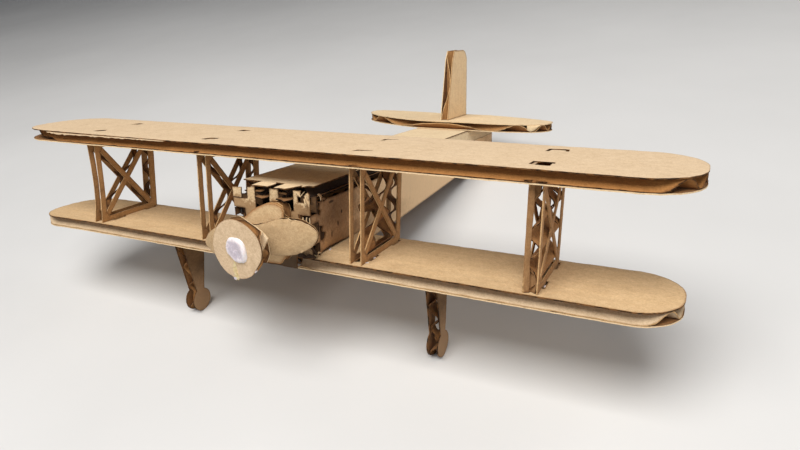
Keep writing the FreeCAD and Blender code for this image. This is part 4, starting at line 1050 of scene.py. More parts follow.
# local X runs to the left, so x changes sign
board("bearing_plate", "airframe", (0, BEARING_FRONT, 0), (-1, 0, 0), (0, 0, 1),
      (rounded([(-x, SHAFT_Z + z) for x, z, _ in LOBE], [radius for _, _, radius in LOBE], 4),
       [TUBE_HOLE]),
      valley=SHAFT_Z - 8.4 + 1.0, seed=15, faces=("face_lobe", "face_shaded"),
      edges=("cut_pale", "cut_pale", "cut_pale"), step=0.8, grid=(1.6, 1.35), rough=0.12,
      recess=0.1, flute="flute_warm")

FORMER_Y = 151.0
former_low = LOWER_Z + BELLY_SLOPE * (FORMER_Y + 12.0) + THICK + 0.02
former_top = deck_top(FORMER_Y) - THICK - 0.02
board("rear_former", "airframe", (0, FORMER_Y, 0), (1, 0, 0), (0, 0, 1),
      (rect(-INNER_HALF, former_low, INNER_HALF, former_top),
       [circle(0, TAIL_HOOK_Z, 0.55, 16)]), valley=former_low + 0.9, seed=16,
      faces=("face_side", "face_side"), edges=("cut_scorched", "cut_scorched", "cut_charred"),
      grid=(1.8, 1.35))

# ------------------------------------------------------------------ tail surfaces
STAB_FRONT, STAB_REAR, STAB_HALF = 116.5, 150.5, 48.0
STAB_WIDE = STAB_FRONT + (STAB_REAR - STAB_FRONT) * 0.66  # y of the widest place
TIP_START, TIP_DROOP = 13.0, 0.030

points = []
for i in range(49):
    t = math.pi * i / 48
    bulge = (STAB_REAR - STAB_WIDE) * abs(math.sin(t)) ** 0.62
    points.append((STAB_HALF * math.cos(t), STAB_WIDE + bulge - STAB_FRONT))
for i in range(1, 64):
    t = math.pi + math.pi * i / 64
    bulge = (STAB_WIDE - STAB_FRONT) * abs(math.sin(t)) ** 0.86
    points.append((STAB_HALF * math.cos(t), STAB_WIDE - bulge - STAB_FRONT))


def stab_warp(verts):
    """The right half falls and the left half rises towards its tip."""
    out = verts.copy()
    x = verts[:, 0]
    out[:, 2] -= TIP_DROOP * np.sign(x) * np.maximum(0.0, np.abs(x) - TIP_START)
    return out


board("stabiliser", "airframe", (0, STAB_FRONT, deck_top(STAB_FRONT) + 0.012), (1, 0, 0),
      (0, 1, -DECK_SLOPE), (np.array(points), []), valley=2.9, seed=17,
      faces=("face", "face_tail"), edges=("cut_cream", "cut_cream", "cut_pale"), warp=stab_warp,
      step=1.4, recess=0.35, flute="flute_warm")


def stab_top(y):
    return deck_top(y) + THICK + 0.036


FIN_FRONT, FIN_REAR, FIN_HIGH = 120.5, 146.3, 31.9
fin_top = stab_top(FIN_FRONT) + FIN_HIGH
points = [(stab_top(FIN_FRONT), -FIN_FRONT), (fin_top - 4.5, -126.7), (fin_top, -129.1),
          (fin_top, -FIN_REAR), (stab_top(FIN_REAR), -FIN_REAR)]
# the fin's brighter card is painted light
board("fin", "airframe", (-THICK / 2, 0, 0), (0, 0, 1), (0, -1, 0),
      (rounded(points, [0, 6, 0, 6, 0], 8), []), valley=-FIN_REAR + 2.4, seed=18,
      faces=("face_fin_painted_light", "face_fin_painted_light"), edges=("cut_cream", "cut_pale", "cut_pale"),
      grid=(2.2, 1.35), flute="flute_warm", recess=0.05)


# ------------------------------------------------------------------ undercarriage
def leg(node, x, foot_y, drop, width, ahead, seed, recess, flute):
    """A leg that narrows to a round foot; ahead is the share of its top forward of the foot."""
    radius, neck = 4.25, 3.8
    # dark leg card is painted shade under the wings; the pale mark on the foot is painted light
    MATS[node] = kraft("card_face_" + node, light=(128, 98, 66), dark=(92, 68, 44),
                       burn=(48, 32, 20), stain=0.4, washboard=0.7, burn_width=0.5,
                       burn_amount=0.5, soot=0.12,
                       marks=[(foot_y, -drop + 1.0, 9.0, 8.5, 0.6, (176, 140, 104), 0.5)])
    start = math.acos(-neck * 0.55 / radius)
    end = math.acos(neck * 0.45 / radius)
    # down the front edge, round the foot, up the rear edge
    line = [(foot_y - width * ahead, LOWER_Z)]
    line += [(foot_y + radius * math.cos(t), -drop + radius * math.sin(t))
             for t in np.linspace(start, 2 * math.pi + end, 44)]
    line += [(foot_y + width * (1 - ahead), LOWER_Z)]
    board(node, "airframe", (x - THICK / 2, 0, 0), (0, 1, 0), (0, 0, 1), (np.array(line), []),
          valley=-drop - radius + 1.5, seed=seed, faces=(node, node),
          edges=("cut_scorched", "cut_scorched", "cut_scorched"), step=0.9, grid=(2.0, 1.35),
          recess=recess, flute=flute)


leg("leg_left", x=-47.0, foot_y=-3.7, drop=61.075, width=11.5, ahead=0.56, seed=19, recess=0.4,
    flute="flute_warm")
leg("leg_right", x=47.0, foot_y=-0.2, drop=60.304, width=9.4, ahead=0.59, seed=20, recess=0.3,
    flute="flute")

# ------------------------------------------------------------------ propeller
PROP_BACK = BEARING_FRONT - 0.3
DISC_FRONT = PROP_BACK - THICK * 3
BLADE_LONG, BLADE_HALF = 21.2, 5.4
# share of blade length, share of its half width
BLADE = [(0.0, 0.80), (0.16, 0.86), (0.32, 0.97), (0.48, 1.0), (0.62, 0.95), (0.76, 0.80),
         (0.87, 0.60), (0.95, 0.36), (1.0, 0.0)]
SHAFT_HOLE = circle(0, 0, 0.55, 14)


def prop_board(node, layers_in_front, degrees, outline, **settings):
    """A board across the shaft, turned about it; its upper face looks forward."""
    turn = math.radians(degrees)
    board(node, "propeller", (0, PROP_BACK - THICK * layers_in_front, SHAFT_Z),
          (math.cos(turn), 0, math.sin(turn)), (-math.sin(turn), 0, math.cos(turn)),
          (outline, [SHAFT_HOLE]), fit=False, **settings)


def smooth_curve(points, steps=4):
    """A closed smooth curve through the points."""
    out = []
    count = len(points)
    for i in range(count):
        before, start, end, after = (points[(i + k) % count] for k in (-1, 0, 1, 2))
        for k in range(steps):
            t = k / steps
            out.append(0.5 * ((2 * start) + (-before + end) * t
                              + (2 * before - 5 * start + 4 * end - after) * t * t
                              + (-before + 3 * start - 3 * end + after) * t ** 3))
    return np.array(out)


def press_blades(verts):
    """Presses the board thin towards both tips, with a crease across one blade."""
    out = verts.copy()
    x, y, z = verts.T
    press = np.clip((np.abs(x) - 11.0) / 10.0, 0, 1)
    out[:, 2] = 2.2 + (z - 2.2) * (1 - 0.62 * press * press)
    crease = 0.35 * np.exp(-((x - 12.6) / 0.5) ** 2)
    out[:, 2] -= crease * (y > 0) * np.clip(y / 4.0, 0, 1)
    return out


quarters = ((1, 1, BLADE[::-1]), (-1, 1, BLADE[1:]), (-1, -1, BLADE[:-1][::-1]),
            (1, -1, BLADE[1:-1]))
points = [(end * BLADE_LONG * x, side * BLADE_HALF * y)
          for end, side, part in quarters for x, y in part]
prop_board("propeller_blades", 0, 11.0, smooth_curve(np.array(points)),
           valley=-BLADE_HALF + 1.4, seed=21, faces=("face_side", "face_propeller"),
           edges=("cut_pale", "cut_cream", "cut_scorched"), rough=0.10, step=0.9,
           grid=(1.2, 0.9), local_warp=press_blades, curl=1.25, reach=1.0, recess=1.7,
           flute="flute_warm")

# outlines of the spacer's three layers, in local (x, y)
SPACER = [(8.4, 0.1), (7.0, 2.7), (4.6, 5.2), (1.4, 7.6), (-4.4, 6.2), (-6.6, 3.8),
          (-6.8, -3.2), (-4.2, -6.0), (2.2, -5.8), (3.95, -3.5)]
SPACER_BACK = [(4.7, -0.4), (0.6, 3.9), (-2.0, 6.4), (-4.4, 6.2), (-6.6, 3.8), (-6.8, -3.2),
               (-4.2, -6.0), (1.5, -7.1), (3.9, -4.8)]
SPACER_CORE = [(5.3, -0.4), (1.2, 3.9), (-1.4, 6.2), (-4.2, 6.0), (-6.4, 3.6), (-6.6, -3.0),
               (-4.0, -5.8), (1.5, -6.6), (3.7, -4.6)]
prop_board("hub_spacer", 1, 20, np.array(SPACER), lower=(np.array(SPACER_BACK), [SHAFT_HOLE]),
           middle=(np.array(SPACER_CORE), [SHAFT_HOLE]), valley=-6.0 + 1.2, seed=22,
           faces=("face", "face_cream_painted_light"), edges=("cut_cream", "cut_cream", "cut_scorched"),
           rough=0.12, step=0.8, grid=(1.6, 1.35), flute="flute_warm", recess=0.15)

DISC_TURN, DISC_RADIUS = -30, 8.7


def disc_angle(local_radians):
    """Degrees from +X towards +Z, from -180 to 180."""
    return (np.degrees(local_radians) + DISC_TURN + 180.0) % 360.0 - 180.0


def press_disc(verts):
    """Pinches the rim on the lower right and trims the back straight on the upper right."""
    out = verts.copy()
    x, y, z = verts.T
    turn = disc_angle(np.arctan2(y, x))
    near_rim = np.clip((np.hypot(x, y) - 4.5) / 3.0, 0, 1)
    pinch = np.clip((turn + 100.0) / 25.0, 0, 1) * np.clip((42.0 - turn) / 20.0, 0, 1)
    out[:, 2] = THICK - (THICK - z) * (1 - 0.86 * ease(pinch) * near_rim)
    cos, sin = math.cos(math.radians(DISC_TURN)), math.sin(math.radians(DISC_TURN))
    level_x, level_z = x * cos - y * sin, x * sin + y * cos
    cut_x, cut_z, cut_far = 0.4624, 0.886, 7.2  # direction and distance of the trim
    over = (np.maximum(0.0, level_x * cut_x + level_z * cut_z - cut_far)
            * np.sqrt(np.clip(1 - out[:, 2] * 0 - z / THICK, 0, 1)) * 0.97)
    level_x, level_z = level_x - cut_x * over, level_z - cut_z * over
    out[:, 0], out[:, 1] = level_x * cos + level_z * sin, -level_x * sin + level_z * cos
    return out


turns = np.arange(72) * 2 * math.pi / 72
around = disc_angle(turns)
uneven = (1.0 - 0.085 * np.exp(-((around + 35.0) / 22.0) ** 2)
          + 0.03 * np.exp(-((around + 112.0) / 26.0) ** 2))
uneven = uneven * (1 + 0.012 * fractal(np.cos(turns) * 2.2 + 9, np.sin(turns) * 2.2, 77))
prop_board("hub_disc", 2, DISC_TURN, circle(0, 0, DISC_RADIUS, 72) * uneven[:, None],
           valley=-DISC_RADIUS + 0.5, seed=23, faces=("face", "face_disc"),
           edges=("cut_cream", "cut_pale", "cut_charred"), rough=0.08, step=0.8,
           grid=(1.6, 1.35), recess=1.0, local_warp=press_disc)


# ------------------------------------------------------------------ wire, tube and rubber
def volume(verts, faces):
    return sum(float(np.dot(verts[face[0]], np.cross(verts[face[i]], verts[face[i + 1]])))
               for face in faces for i in range(1, len(face) - 1)) / 6.0


def closed_piece(name, node, body, mesh, mat, seed, smooth, fit=False, edge=9.0):
    """A closed body from (verts, faces, card), with its faces turned outwards."""
    verts, faces, card = mesh
    verts = np.asarray(verts, float)
    if volume(verts - verts.mean(0), faces) < 0:
        faces = [tuple(reversed(face)) for face in faces]
    build = Build(seed)
    build.add(verts, faces, [0] * len(faces), card, edge)
    if fit:
        verts = settle(verts, node)
    build.finish(name, [mat], verts, smooth, body, node)


def swept(path, side, profile, closed=False):
    """Carries a closed profile along a path that lies in the plane across 'side'."""
    path, side = np.asarray(path, float), np.asarray(side, float) / np.linalg.norm(side)
    rings, count = len(path), len(profile)
    if closed:
        tangent = np.roll(path, -1, 0) - np.roll(path, 1, 0)
    else:
        tangent = np.gradient(path, axis=0)
    normal = np.cross(side, tangent / np.linalg.norm(tangent, axis=1)[:, None])
    steps = np.linalg.norm(np.diff(path, axis=0, append=path[:1]), axis=1)
    along = np.concatenate(((0,), np.cumsum(steps)[:-1]))
    verts, card, faces = [], [], []
    for i in range(rings):
        verts += [path[i] + normal[i] * out + side * over for out, over in profile]
        card += [(along[i], out * 2, over * 2) for out, over in profile]
    for i in range(rings if closed else rings - 1):
        here, there = i * count, ((i + 1) % rings) * count
        faces += [(here + j, here + (j + 1) % count, there + (j + 1) % count, there + j)
                  for j in range(count)]
    if not closed:
        faces += [tuple(range(count))[::-1], tuple(range((rings - 1) * count, rings * count))]
    return verts, faces, card


EYE = 2.2  # radius of the wire eyes
SHAFT_END, HOOK_START, HOOK_END = -8.0, 152.0, 143.0


def hook_wire(start, end, z):
    """Straight wire from y = start to end that bends into an eye beyond the end."""
    ahead = 1.0 if end > start else -1.0
    path = [(0, y, z) for y in np.linspace(start, end - ahead * 0.75, 24)]
    path += [(0, end - ahead * 0.40, z - 0.05), (0, end - ahead * 0.14, z - 0.22)]
    path += [(0, end + ahead * (EYE + EYE * math.cos(t)), z + EYE * math.sin(t))
             for t in np.radians(np.linspace(192, 498, 46))]
    return swept(path, (1, 0, 0), circle(0, 0, 0.5, 14))


closed_piece("prop_shaft_wire", "prop_shaft", "propeller",
             hook_wire(DISC_FRONT - 0.45, SHAFT_END, SHAFT_Z), "wire", seed=30, smooth=50)
closed_piece("tail_hook_wire", "tail_hook", "airframe",
             hook_wire(HOOK_START, HOOK_END, TAIL_HOOK_Z), "wire", seed=31, smooth=50, fit=True)

# section of the bearing tube, with eased ends: radius, y
TUBE = [(1.2, -20.12), (1.2, -15.6), (1.2, -11.08), (1.12, -11.0), (0.63, -11.0),
        (0.56, -11.07), (0.56, -15.6), (0.56, -20.13), (0.63, -20.2), (1.12, -20.2)]


def bearing_tube(segments=32):
    verts, faces, card = [], [], []
    count = len(TUBE)
    for i in range(segments):
        t = 2 * math.pi * i / segments
        here, there = i * count, ((i + 1) % segments) * count
        for radius, y in TUBE:
            x, z = radius * math.cos(t), radius * math.sin(t)
            verts.append((x, y, SHAFT_Z + z))
            card.append((x * 2, z * 2, y))
        faces += [(here + j, here + (j + 1) % count, there + (j + 1) % count, there + j)
                  for j in range(count)]
    return verts, faces, card


closed_piece("bearing_tube_sleeve", "bearing_tube", "airframe", bearing_tube(), "tube",
             seed=32, smooth=35, fit=True)

# rubber band: a long link from the tail hook, narrow at its front end, and a short link that
# turns with the eye of the shaft
BAND_START = SHAFT_END + 2 * EYE
BAND_WIDE, BAND_NARROW = 0.72 + 1.2 / 2, 0.64  # half widths at the eyes and where links meet
band_run = np.array((0, HOOK_END - 2 * EYE - BAND_START, TAIL_HOOK_Z - SHAFT_Z))
band_long = np.linalg.norm(band_run)
band_axis = band_run / band_long
band_up = np.cross(band_axis, (-1, 0, 0))
BAND_SECTION = [(x + 0.18 * math.cos(math.radians(start + k)),
                 y + 0.18 * math.sin(math.radians(start + k)))
                for x, y, start in ((0.42, 0.62, 0), (-0.42, 0.62, 90), (-0.42, -0.62, 180),
                                    (0.42, -0.62, 270)) for k in (0, 45, 90)]


def link(start, end, start_half, end_half, blend, count, axis, side):
    """A closed strand along the axis whose half width eases out over 'blend'."""
    def half(along):
        k = (along - start) / blend if start_half < end_half else (end - along) / blend
        k = min(1.0, max(0.0, k))
        return min(start_half, end_half) + abs(end_half - start_half) * ease(k)

    def cap(centre, radius, first, last):
        return [(centre + radius * math.cos(t), radius * math.sin(t))
                for t in np.radians(np.linspace(first, last, 13))]

    out = cap(end, end_half, -90, 90)
    out += [(along, half(along)) for along in np.linspace(end, start, count)[1:-1]]
    out += cap(start, start_half, 90, 270)
    out += [(along, -half(along)) for along in np.linspace(start, end, count)[1:-1]]
    path = []
    for along, over in out:
        share = min(1, max(0, along / band_long))
        sway = 0.10 * math.sin(along * 0.21 + over) * math.sin(math.pi * share)
        path.append(np.array((0, BAND_START, SHAFT_Z)) + axis * along
                    + np.array((-1, 0, 0)) * over + side * sway)
    return swept(path, side, BAND_SECTION, closed=True)


closed_piece("rubber_band_loop", "rubber_band", "airframe",
             link(8.75, band_long, BAND_NARROW, BAND_WIDE, blend=9.0, count=72, axis=band_axis,
                  side=band_up), "rubber", seed=33, smooth=60)
closed_piece("rubber_band_front_link", None, "propeller",
             link(0.0, 6.2, BAND_WIDE, BAND_NARROW, blend=5.0, count=14,
                  axis=np.array((0, 1.0, 0)), side=np.array((0, 0, 1.0))),
             "rubber", seed=34, smooth=60)


# ------------------------------------------------------------------ glue
def lump(name, body, centre, right, up, half_x, half_y, high, seed, ragged_edge, folds=0.25,
         foot=0.06, mat="glue", profile=None, sink=0.80, node=None, segments=56, rings=16):
    """Set glue: a low mound with a rolled rim and folds. foot reaches into the surface, sink
    scales the middle, and profile scales the radius at every 45 degrees."""
    axes = np.array((right, up, np.cross(right, up)), float)
    centre = np.array(centre, float)
    turn = np.arange(segments) * 2 * math.pi / segments
    outline = 1.0
    if profile is not None:
        outline = np.interp(turn, np.arange(9) * math.pi / 4, profile + profile[:1])
        order = np.minimum(np.arange(segments), segments - np.arange(segments))
        outline = np.real(np.fft.ifft(np.fft.fft(outline) * (order < 7)))
    outline = outline * (1 + ragged_edge * fractal(np.cos(turn) * 1.7 + 5, np.sin(turn) * 1.7,
                                                   seed, octaves=3))
    local, shares, faces = [], [], []
    levels = [0.97] + list(np.linspace(1.0, 0.0, rings + 1)[:-1])
    for k, share in enumerate(levels):
        x = half_x * share * np.cos(turn) * outline
        y = half_y * share * np.sin(turn) * outline
        if k == 0:
            z = np.full(segments, -foot)
        else:
            dome = max(0.0, 1 - share ** 3.2) ** 0.5 * (sink + (1 - sink) * min(1.0, share / 0.7))
            roll = 0.20 * math.exp(-((share - 0.80) / 0.12) ** 2)
            rough = fractal(x / half_x * 1.5 + 3, y / half_x * 1.5, seed + 4, octaves=3)
            spiral = np.sin(3.2 * share * 2 + turn * 1.0 + seed)
            z = high * (dome * (0.80 + 0.16 * folds * rough * 2 + 0.10 * folds * spiral)
                        + roll * (1 + rough) * 0.6)
        local.append(np.column_stack((x, y, z)))
        shares += [share] * segments
    for k in range(len(levels) - 1):
        here, there = k * segments, (k + 1) * segments
        faces += [(here + i, here + (i + 1) % segments, there + (i + 1) % segments, there + i)
                  for i in range(segments)]
    last = (len(levels) - 1) * segments
    faces += [(last + i, last + (i + 1) % segments, last + segments) for i in range(segments)]
    faces.append(tuple(range(segments))[::-1])
    local = np.concatenate(local)
    verts = np.concatenate((local, [(0, 0, high * 0.82 * (0.2 + sink))])) @ axes + centre
    card = np.concatenate((local, [(0, 0, high)]))
    closed_piece(name, node, body, (verts, faces, card), mat, seed, smooth=80,
                 edge=np.array(shares + [0.0]))


ACROSS, AFT, UP = (1, 0, 0), (0, 1, 0), (0, 0, 1)
# name, centre, local axes, half sizes, height, seed, settings of lump()
HUB_GLUE = [
    ("hub_glue_mound", (0.05, DISC_FRONT, SHAFT_Z - 0.1), ACROSS, UP, 3.65, 3.7, 1.1, 41,
     dict(ragged_edge=0.08, folds=0.9, profile=[0.95, 0.92, 0.95, 1.10, 1.04, 0.91, 1.03, 1.12],
          sink=0.66, node="hub_glue")),
    ("hub_glue_run", (-1.35, DISC_FRONT, SHAFT_Z - 5.9), (0.99, 0, 0.12), (-0.12, 0, 0.99),
     0.85, 2.35, 0.05, 42,
     dict(ragged_edge=0.7, folds=0.4, mat="glue_film",
          profile=[0.8, 0.55, 0.95, 0.5, 0.75, 1.5, 1.0, 1.7])),
    ("hub_glue_drip", (-1.7, DISC_FRONT + 0.2, SHAFT_Z - 9.0), ACROSS, UP, 0.6, 0.45, 0.4, 43,
     dict(ragged_edge=0.2, foot=0.5)),
    ("hub_glue_spot", (5.5, DISC_FRONT + 0.3, SHAFT_Z - 5.85), (0.8, 0, 0.6), (-0.6, 0, 0.8),
     0.55, 0.4, 0.35, 44, dict(ragged_edge=0.25, foot=0.45))]
WING_GLUE = [
    ("root_glue_a", (14.35, -7.2, LOWER_TOP), ACROSS, AFT, 0.3, 0.6, 0.4, 45,
     dict(ragged_edge=0.3)),
    ("root_glue_b", (14.2, 6.0, LOWER_TOP), ACROSS, AFT, 0.22, 1.0, 0.25, 46,
     dict(ragged_edge=0.4)),
    ("foot_glue_a", (30.2, -12.6, LOWER_TOP), (0.9, 0.43, 0), (-0.43, 0.9, 0), 0.6, 0.16, 0.22,
     47, dict(ragged_edge=0.4)),
    ("foot_glue_b", (30.3, -8.0, LOWER_TOP), ACROSS, AFT, 0.2, 0.6, 0.18, 48,
     dict(ragged_edge=0.4)),
    ("foot_glue_c", (80.8, -9.0, LOWER_TOP), ACROSS, AFT, 0.2, 0.7, 0.2, 49,
     dict(ragged_edge=0.4))]
for body, table in (("propeller", HUB_GLUE), ("airframe", WING_GLUE)):
    for name, *sizes, settings in table:
        lump(name, body, *sizes, **settings)


# ------------------------------------------------------------------ torn strips of paper
def sheet(name, body, points, thick, mats, seed):
    """A grid of points given thickness; mats are the two faces and the cut edge."""
    points = np.asarray(points, float)
    rows, cols = points.shape[:2]
    along, down = np.gradient(points, axis=1), np.gradient(points, axis=0)
    normal = np.cross(along, down)
    normal = normal / np.maximum(np.linalg.norm(normal, axis=2), 1e-9)[:, :, None]
    back = (points - normal * thick / 2).reshape(-1, 3)
    front = (points + normal * thick / 2).reshape(-1, 3)
    count = rows * cols
    card = np.column_stack((np.cumsum(np.linalg.norm(down, axis=2), axis=0).ravel(),
                            np.cumsum(np.linalg.norm(along, axis=2), axis=1).ravel(),
                            np.zeros(count)))
    quads = [(r * cols + k, r * cols + k + 1, (r + 1) * cols + k + 1, (r + 1) * cols + k)
             for r in range(rows - 1) for k in range(cols - 1)]
    gap = [min(r, rows - 1 - r, k, cols - 1 - k) * 0.5 for r in range(rows) for k in range(cols)]
    build = Build(seed)
    build.add(np.concatenate((back, front)),
              [quad[::-1] for quad in quads] + [tuple(i + count for i in q) for q in quads],
              [0] * len(quads) + [1] * len(quads),
              np.concatenate((card, card + (0, 0, thick))), gap + gap)
    loop = (list(range(cols)) + [r * cols + cols - 1 for r in range(1, rows)]
            + [(rows - 1) * cols + k for k in range(cols - 2, -1, -1)]
            + [r * cols for r in range(rows - 2, 0, -1)])
    count = len(loop)
    build.add(np.concatenate((back[loop], front[loop])),
              [(k, (k + 1) % count, (k + 1) % count + count, k + count) for k in range(count)],
              [2] * count, np.concatenate((card[loop], card[loop] + (0, 0, thick))), 0.0)
    build.finish(name, mats, np.concatenate(build.verts), 50, body)


def grid_of(rows, cols, point):
    """Points at t down the rows and q across them, both from 0 to 1."""
    return np.array([[point(t, q) for q in np.linspace(0, 1, cols)]
                     for t in np.linspace(0, 1, rows)])


def turned_liner(t, q):
    """Liner turned in along the front of the right outer frame, on its left face."""
    z = LOWER_TOP + 0.15 + (UPPER_Z - LOWER_TOP - 0.3) * t
    width = 1.45 + 0.25 * noise(t * 7.0, 0.3, 91) - 0.25 * t
    return (STRUT_OUTER - 1.92 + width * q,
            front_edge(z) + 0.12 + 0.55 * q * q + 0.05 * noise(t * 9, q * 2, 92), z)


sheet("frame_right_outer_turned_liner", "airframe", grid_of(26, 5, turned_liner), 0.3,
      ("liner_turned", "liner_turned", "cut_pale"), 51)

CREAM = ("face_nose", "face_tail", "cut_cream")
CHARRED = ("flute_dark", "flute_dark", "cut_charred")
# narrow tongues: name, points along it, widths at them, thickness, materials, seed, width axis
PEELS = [
    ("nose_peel_a", [(9.8, -16.2, -12.4), (11.4, -16.6, -13.2), (12.9, -16.4, -11.6)],
     [0.5, 0.35, 0.15], 0.2, CREAM, 52, UP),
    ("nose_peel_b", [(12.5, -16.3, -13.8), (13.2, -16.9, -15.2), (13.0, -16.3, -16.4)],
     [0.5, 0.4, 0.2], 0.2, CREAM, 53, ACROSS),
    ("nose_peel_c", [(13.4, -16.1, -12.6), (13.7, -16.2, -13.6), (13.6, -15.9, -14.4)],
     [0.6, 0.6, 0.3], 0.2, CREAM, 54, ACROSS),
    ("notch_bar_a", [(11.4, -16.0, -19.6), (11.5, -16.1, -20.6), (11.4, -16.0, -21.7)],
     [0.35, 0.3, 0.35], 0.25, CREAM, 55, ACROSS),
    ("notch_bar_b", [(12.7, -16.0, -19.5), (12.6, -16.1, -20.6), (12.8, -16.0, -21.7)],
     [0.3, 0.35, 0.3], 0.25, CREAM, 56, ACROSS),
    ("notch_bar_c", [(13.7, -16.0, -19.5), (13.8, -16.1, -20.6), (13.7, -16.0, -21.7)],
     [0.3, 0.3, 0.35], 0.25, CREAM, 57, ACROSS),
    ("side_peel_a", [(14.15, -11.4, -13.4), (14.5, -10.6, -14.4), (14.3, -10.4, -15.6)],
     [0.9, 0.8, 0.4], 0.25, ("face_side", "face_tail", "cut_cream"), 58, AFT),
    ("root_char_a", [(9.0, -16.4, -31.6), (10.6, -16.7, -31.3), (12.2, -16.3, -31.8)],
     [0.9, 1.3, 0.5], 0.25, CHARRED, 60, UP),
    ("root_char_b", [(11.6, -16.8, -31.9), (13.0, -16.5, -31.2), (14.6, -15.4, -31.7)],
     [0.6, 1.2, 0.4], 0.25, CHARRED, 61, UP),
    ("root_char_c", [(13.6, -16.2, -28.4), (14.3, -15.6, -29.6), (14.5, -14.6, -31.2)],
     [0.5, 1.0, 0.8], 0.25, ("flute_dark", "face_shaded", "cut_charred"), 62, (0, 1, 0.2)),
    ("root_peel_d", [(13.9, -14.2, -31.6), (14.3, -13.2, -31.0), (14.5, -12.2, -31.5)],
     [0.3, 0.5, 0.2], 0.2, CREAM, 63, UP)]
for name, path, widths, thick, mats, seed, axis in PEELS:
    stations = np.linspace(0, len(path) - 1, 9)
    middle = np.column_stack([np.interp(stations, range(len(path)), column)
                              for column in np.array(path).T])
    widths = np.interp(stations, range(len(path)), widths)
    axis = np.array(axis, float) / np.linalg.norm(axis)
    sheet(name, "airframe", [[spot + axis * width * (q - 0.5) for q in np.linspace(0, 1, 4)]
                             for spot, width in zip(middle, widths)], thick, mats, seed)


def torn_fibres(t, q):
    """Fibres hanging between disc and spacer."""
    width = 2.0 - 1.5 * t + 0.2 * noise(t * 5, 0.4, 98)
    return (5.4 - 2.2 * t - width * (q - 0.5) * 0.8, -28.4 + 0.5 * math.sin(3 * q + 4 * t),
            -29.2 - 4.0 * t - width * (q - 0.5) * 0.5)


def torn_strip(t, q):
    """Liner hanging under the left leading edge of the upper wing."""
    x = -97.5 + 57.0 * t
    width = (0.62 - 0.40 * t) * (1 + 0.5 * noise(x * 0.9, 2.0, 95)) * min(1.0, t * 14 + 0.25)
    return x, -15.52 - 0.12 * q + 0.04 * noise(x * 0.7, q * 2, 96), -0.36 - width * q


sheet("hub_torn_fibres", "propeller", grid_of(9, 5, torn_fibres), 0.3,
      ("flute_wing", "flute_warm", "cut_scorched"), 69)
sheet("upper_wing_torn_strip", "airframe", grid_of(60, 4, torn_strip), 0.16,
      ("face_bright", "face_bright", "cut_pale"), 64)

# towards the tail the deck liner is folded down over both fluted edges
for name, side, seed in (("right", 1, 65), ("left", -1, 70)):
    def folded_edge(t, q):
        y = 50.0 + 102.0 * t
        full = 5.3
        down = full * min(1.0, 0.15 + (y - 50.0) / 14.0) + 0.25 * noise(y * 0.25, 0.7, seed)
        out = 13.0 + 1.14 * (q * down / full) ** 0.8 + 0.03 * noise(y * 0.4, q * 2, 97)
        return side * out, y, deck_top(y) - 0.35 - down * q

    sheet("deck_folded_edge_" + name, "airframe", grid_of(46, 6, folded_edge)[:, ::side], 0.22,
          ("face", "face_tail", "cut_pale"), seed)

# webs at the front of the right outer frame, at its upper and lower end
for name, z_end, run, seed in (("top", UPPER_Z - 0.1, -5.6, 66),
                               ("low", LOWER_TOP + 0.1, 8.2, 67)):
    def web(t, q):
        z = z_end + run * t
        width = 3.1 * max(0.10, 1.0 - t ** 2.6) * (1 + 0.12 * noise(t * 6.0, 1.0, seed))
        return (76.75 + width * q,
                front_edge(z) + 0.55 + 0.7 * math.sin(math.pi * q) + 0.25 * t, z)

    sheet("frame_right_outer_web_" + name, "airframe", grid_of(14, 8, web), 0.26,
          ("liner_turned", "liner_turned", "cut_scorched"), seed)


def stab_curl(t, q):
    """A pale curl of liner at the front of the stabiliser's right tip."""
    x = 39.6 + 5.2 * t
    y = STAB_WIDE - (STAB_WIDE - STAB_FRONT) * math.sqrt(1 - (x / STAB_HALF) ** 2) ** 0.86
    z = deck_top(y) + THICK - 0.45 - TIP_DROOP * (x - TIP_START)
    drop = 0.5 + 2.3 * math.sin(math.pi * min(1.0, 0.25 + t * 0.85))
    return x, y + 0.15 - 0.7 * math.sin(math.pi * q) * (0.4 + 0.6 * t), z - drop * q


sheet("stabiliser_curl", "airframe", grid_of(12, 6, stab_curl), 0.2,
      ("face_cream", "face_cream", "cut_cream"), 68)


# ------------------------------------------------------------------ floor, in metres
def floor_material():
    net = Graph("studio_floor")
    place = net.node("TexCoord").outputs["Object"]
    cloud = net.noise(place, scale=4.0, detail=4.0)
    colour = net.mix(net.span(cloud), low=(0.60, 0.60, 0.595, 1), high=(0.66, 0.66, 0.655, 1))
    grit = net.noise(place, scale=420.0)
    return net.surface({"Base Color": colour, "Roughness": 0.85, "Specular IOR Level": 0.2,
                        "Normal": net.bump(grit, strength=0.15, distance=0.0002)})


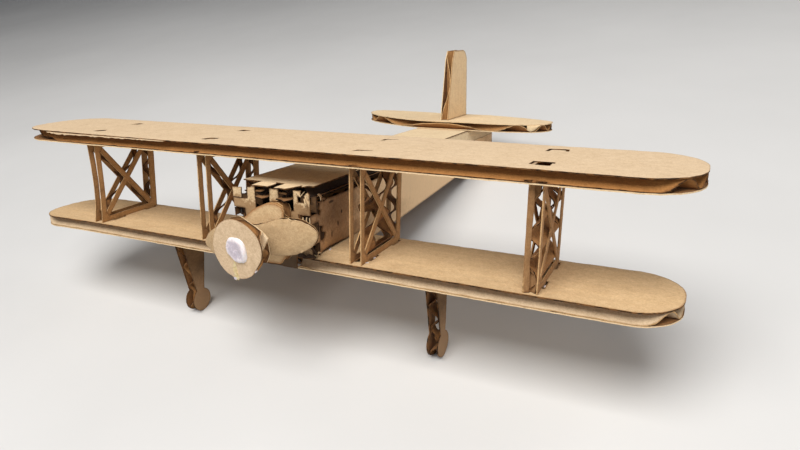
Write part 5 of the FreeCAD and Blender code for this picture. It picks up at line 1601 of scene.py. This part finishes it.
def studio_floor():
    """Flat in the middle and swept up on all four sides: high behind, low elsewhere."""
    sweep = 0.5  # radius of the sweep, in plan and upwards
    corners = ((2.4, 1.0, 0), (-2.4, 1.0, 90), (-2.4, -1.4, 180), (2.4, -1.4, 270))
    edge = [(x, y, math.radians(start + 11.25 * k)) for x, y, start in corners for k in range(9)]
    # distance out from the corner centres, height; None is the top edge
    profile = [(0.001, 0.0)] + [(sweep * math.sin(t), sweep - sweep * math.cos(t))
                                for t in np.linspace(0.12, math.pi / 2, 12)] + [(sweep, None)]
    verts, faces, count = [], [], len(edge)
    for out, z in profile:
        verts += [(x + out * math.cos(t), y + out * math.sin(t),
                   0.8 + 1.4 * max(0.0, math.sin(t)) if z is None else z) for x, y, t in edge]
    for i in range(len(profile) - 1):
        here, there = i * count, (i + 1) * count
        faces += [(here + k, here + (k + 1) % count, there + (k + 1) % count, there + k)
                  for k in range(count)]
    faces.append(tuple(range(count)))
    mesh = bpy.data.meshes.new("studio_floor")
    mesh.from_pydata(verts, [], faces)
    mesh.materials.append(floor_material())
    mesh.polygons.foreach_set("use_smooth", np.array([True] * (len(faces) - 1) + [False]))
    floor = bpy.data.objects.new("studio_floor", mesh)
    scene.collection.objects.link(floor)


studio_floor()


# ------------------------------------------------------------------ light, in metres and watts
def area_light(name, place, target, size, power, colour):
    light = bpy.data.lights.new(name, "AREA")
    light.shape = "RECTANGLE"
    light.size, light.size_y = size
    light.energy, light.color = power, colour
    thing = bpy.data.objects.new(name, light)
    scene.collection.objects.link(thing)
    thing.location = place
    thing.rotation_mode = "QUATERNION"
    aim = Vector(target) - Vector(place)
    thing.rotation_quaternion = aim.to_track_quat("-Z", "Y")


area_light("key_light", place=(0.02, -0.37, 0.88), target=(0, 0, 0.02), size=(0.75, 0.55),
           power=11.6, colour=(1.0, 0.975, 0.945))
area_light("tail_light", place=(0.55, 0.42, 0.52), target=(0.0, 0.09, 0.04), size=(0.35, 0.35),
           power=1.3, colour=(1.0, 0.97, 0.94))
area_light("fill_light", place=(0.75, -0.55, 0.35), target=(0, 0, 0.03), size=(0.5, 0.5),
           power=1.15, colour=(0.98, 0.97, 0.97))
world = bpy.data.worlds.new("studio_world")
scene.world = world
world.use_nodes = True
background = world.node_tree.nodes["Background"]
background.inputs["Color"].default_value = (0.9, 0.93, 1.0, 1)
background.inputs["Strength"].default_value = 0.15

scene.view_settings.view_transform = "Standard"
scene.view_settings.look = "None"

# ------------------------------------------------------------------ camera
CAMERA_PLACE = (112.337, -155.736, 32.216)  # level frame, millimetres
YAW, TIP, ROLL = 0.461566, 0.311708, -0.0224492  # radians, in the level frame


def row_dir(x, y, z):
    return Vector((x, y * LEAN_COS + z * LEAN_SIN, -y * LEAN_SIN + z * LEAN_COS))


camera_data = bpy.data.cameras.new("camera")
camera = bpy.data.objects.new("camera", camera_data)
scene.collection.objects.link(camera)
back = Vector((math.sin(YAW) * math.cos(TIP), -math.cos(YAW) * math.cos(TIP), math.sin(TIP)))
right = (-back).cross(Vector((0, 0, 1))).normalized()
up = right.cross(-back)
rolled_right = math.cos(ROLL) * right + math.sin(ROLL) * up
rolled_up = -math.sin(ROLL) * right + math.cos(ROLL) * up
turn = Matrix((row_dir(*rolled_right), row_dir(*rolled_up), row_dir(*back))).transposed()
camera.matrix_world = Matrix.Translation(Vector(to_row([CAMERA_PLACE])[0])) @ turn.to_4x4()
camera_data.sensor_width = 36.0
camera_data.lens = 27.52857
camera_data.clip_start, camera_data.clip_end = 0.001, 10.0
scene.camera = camera
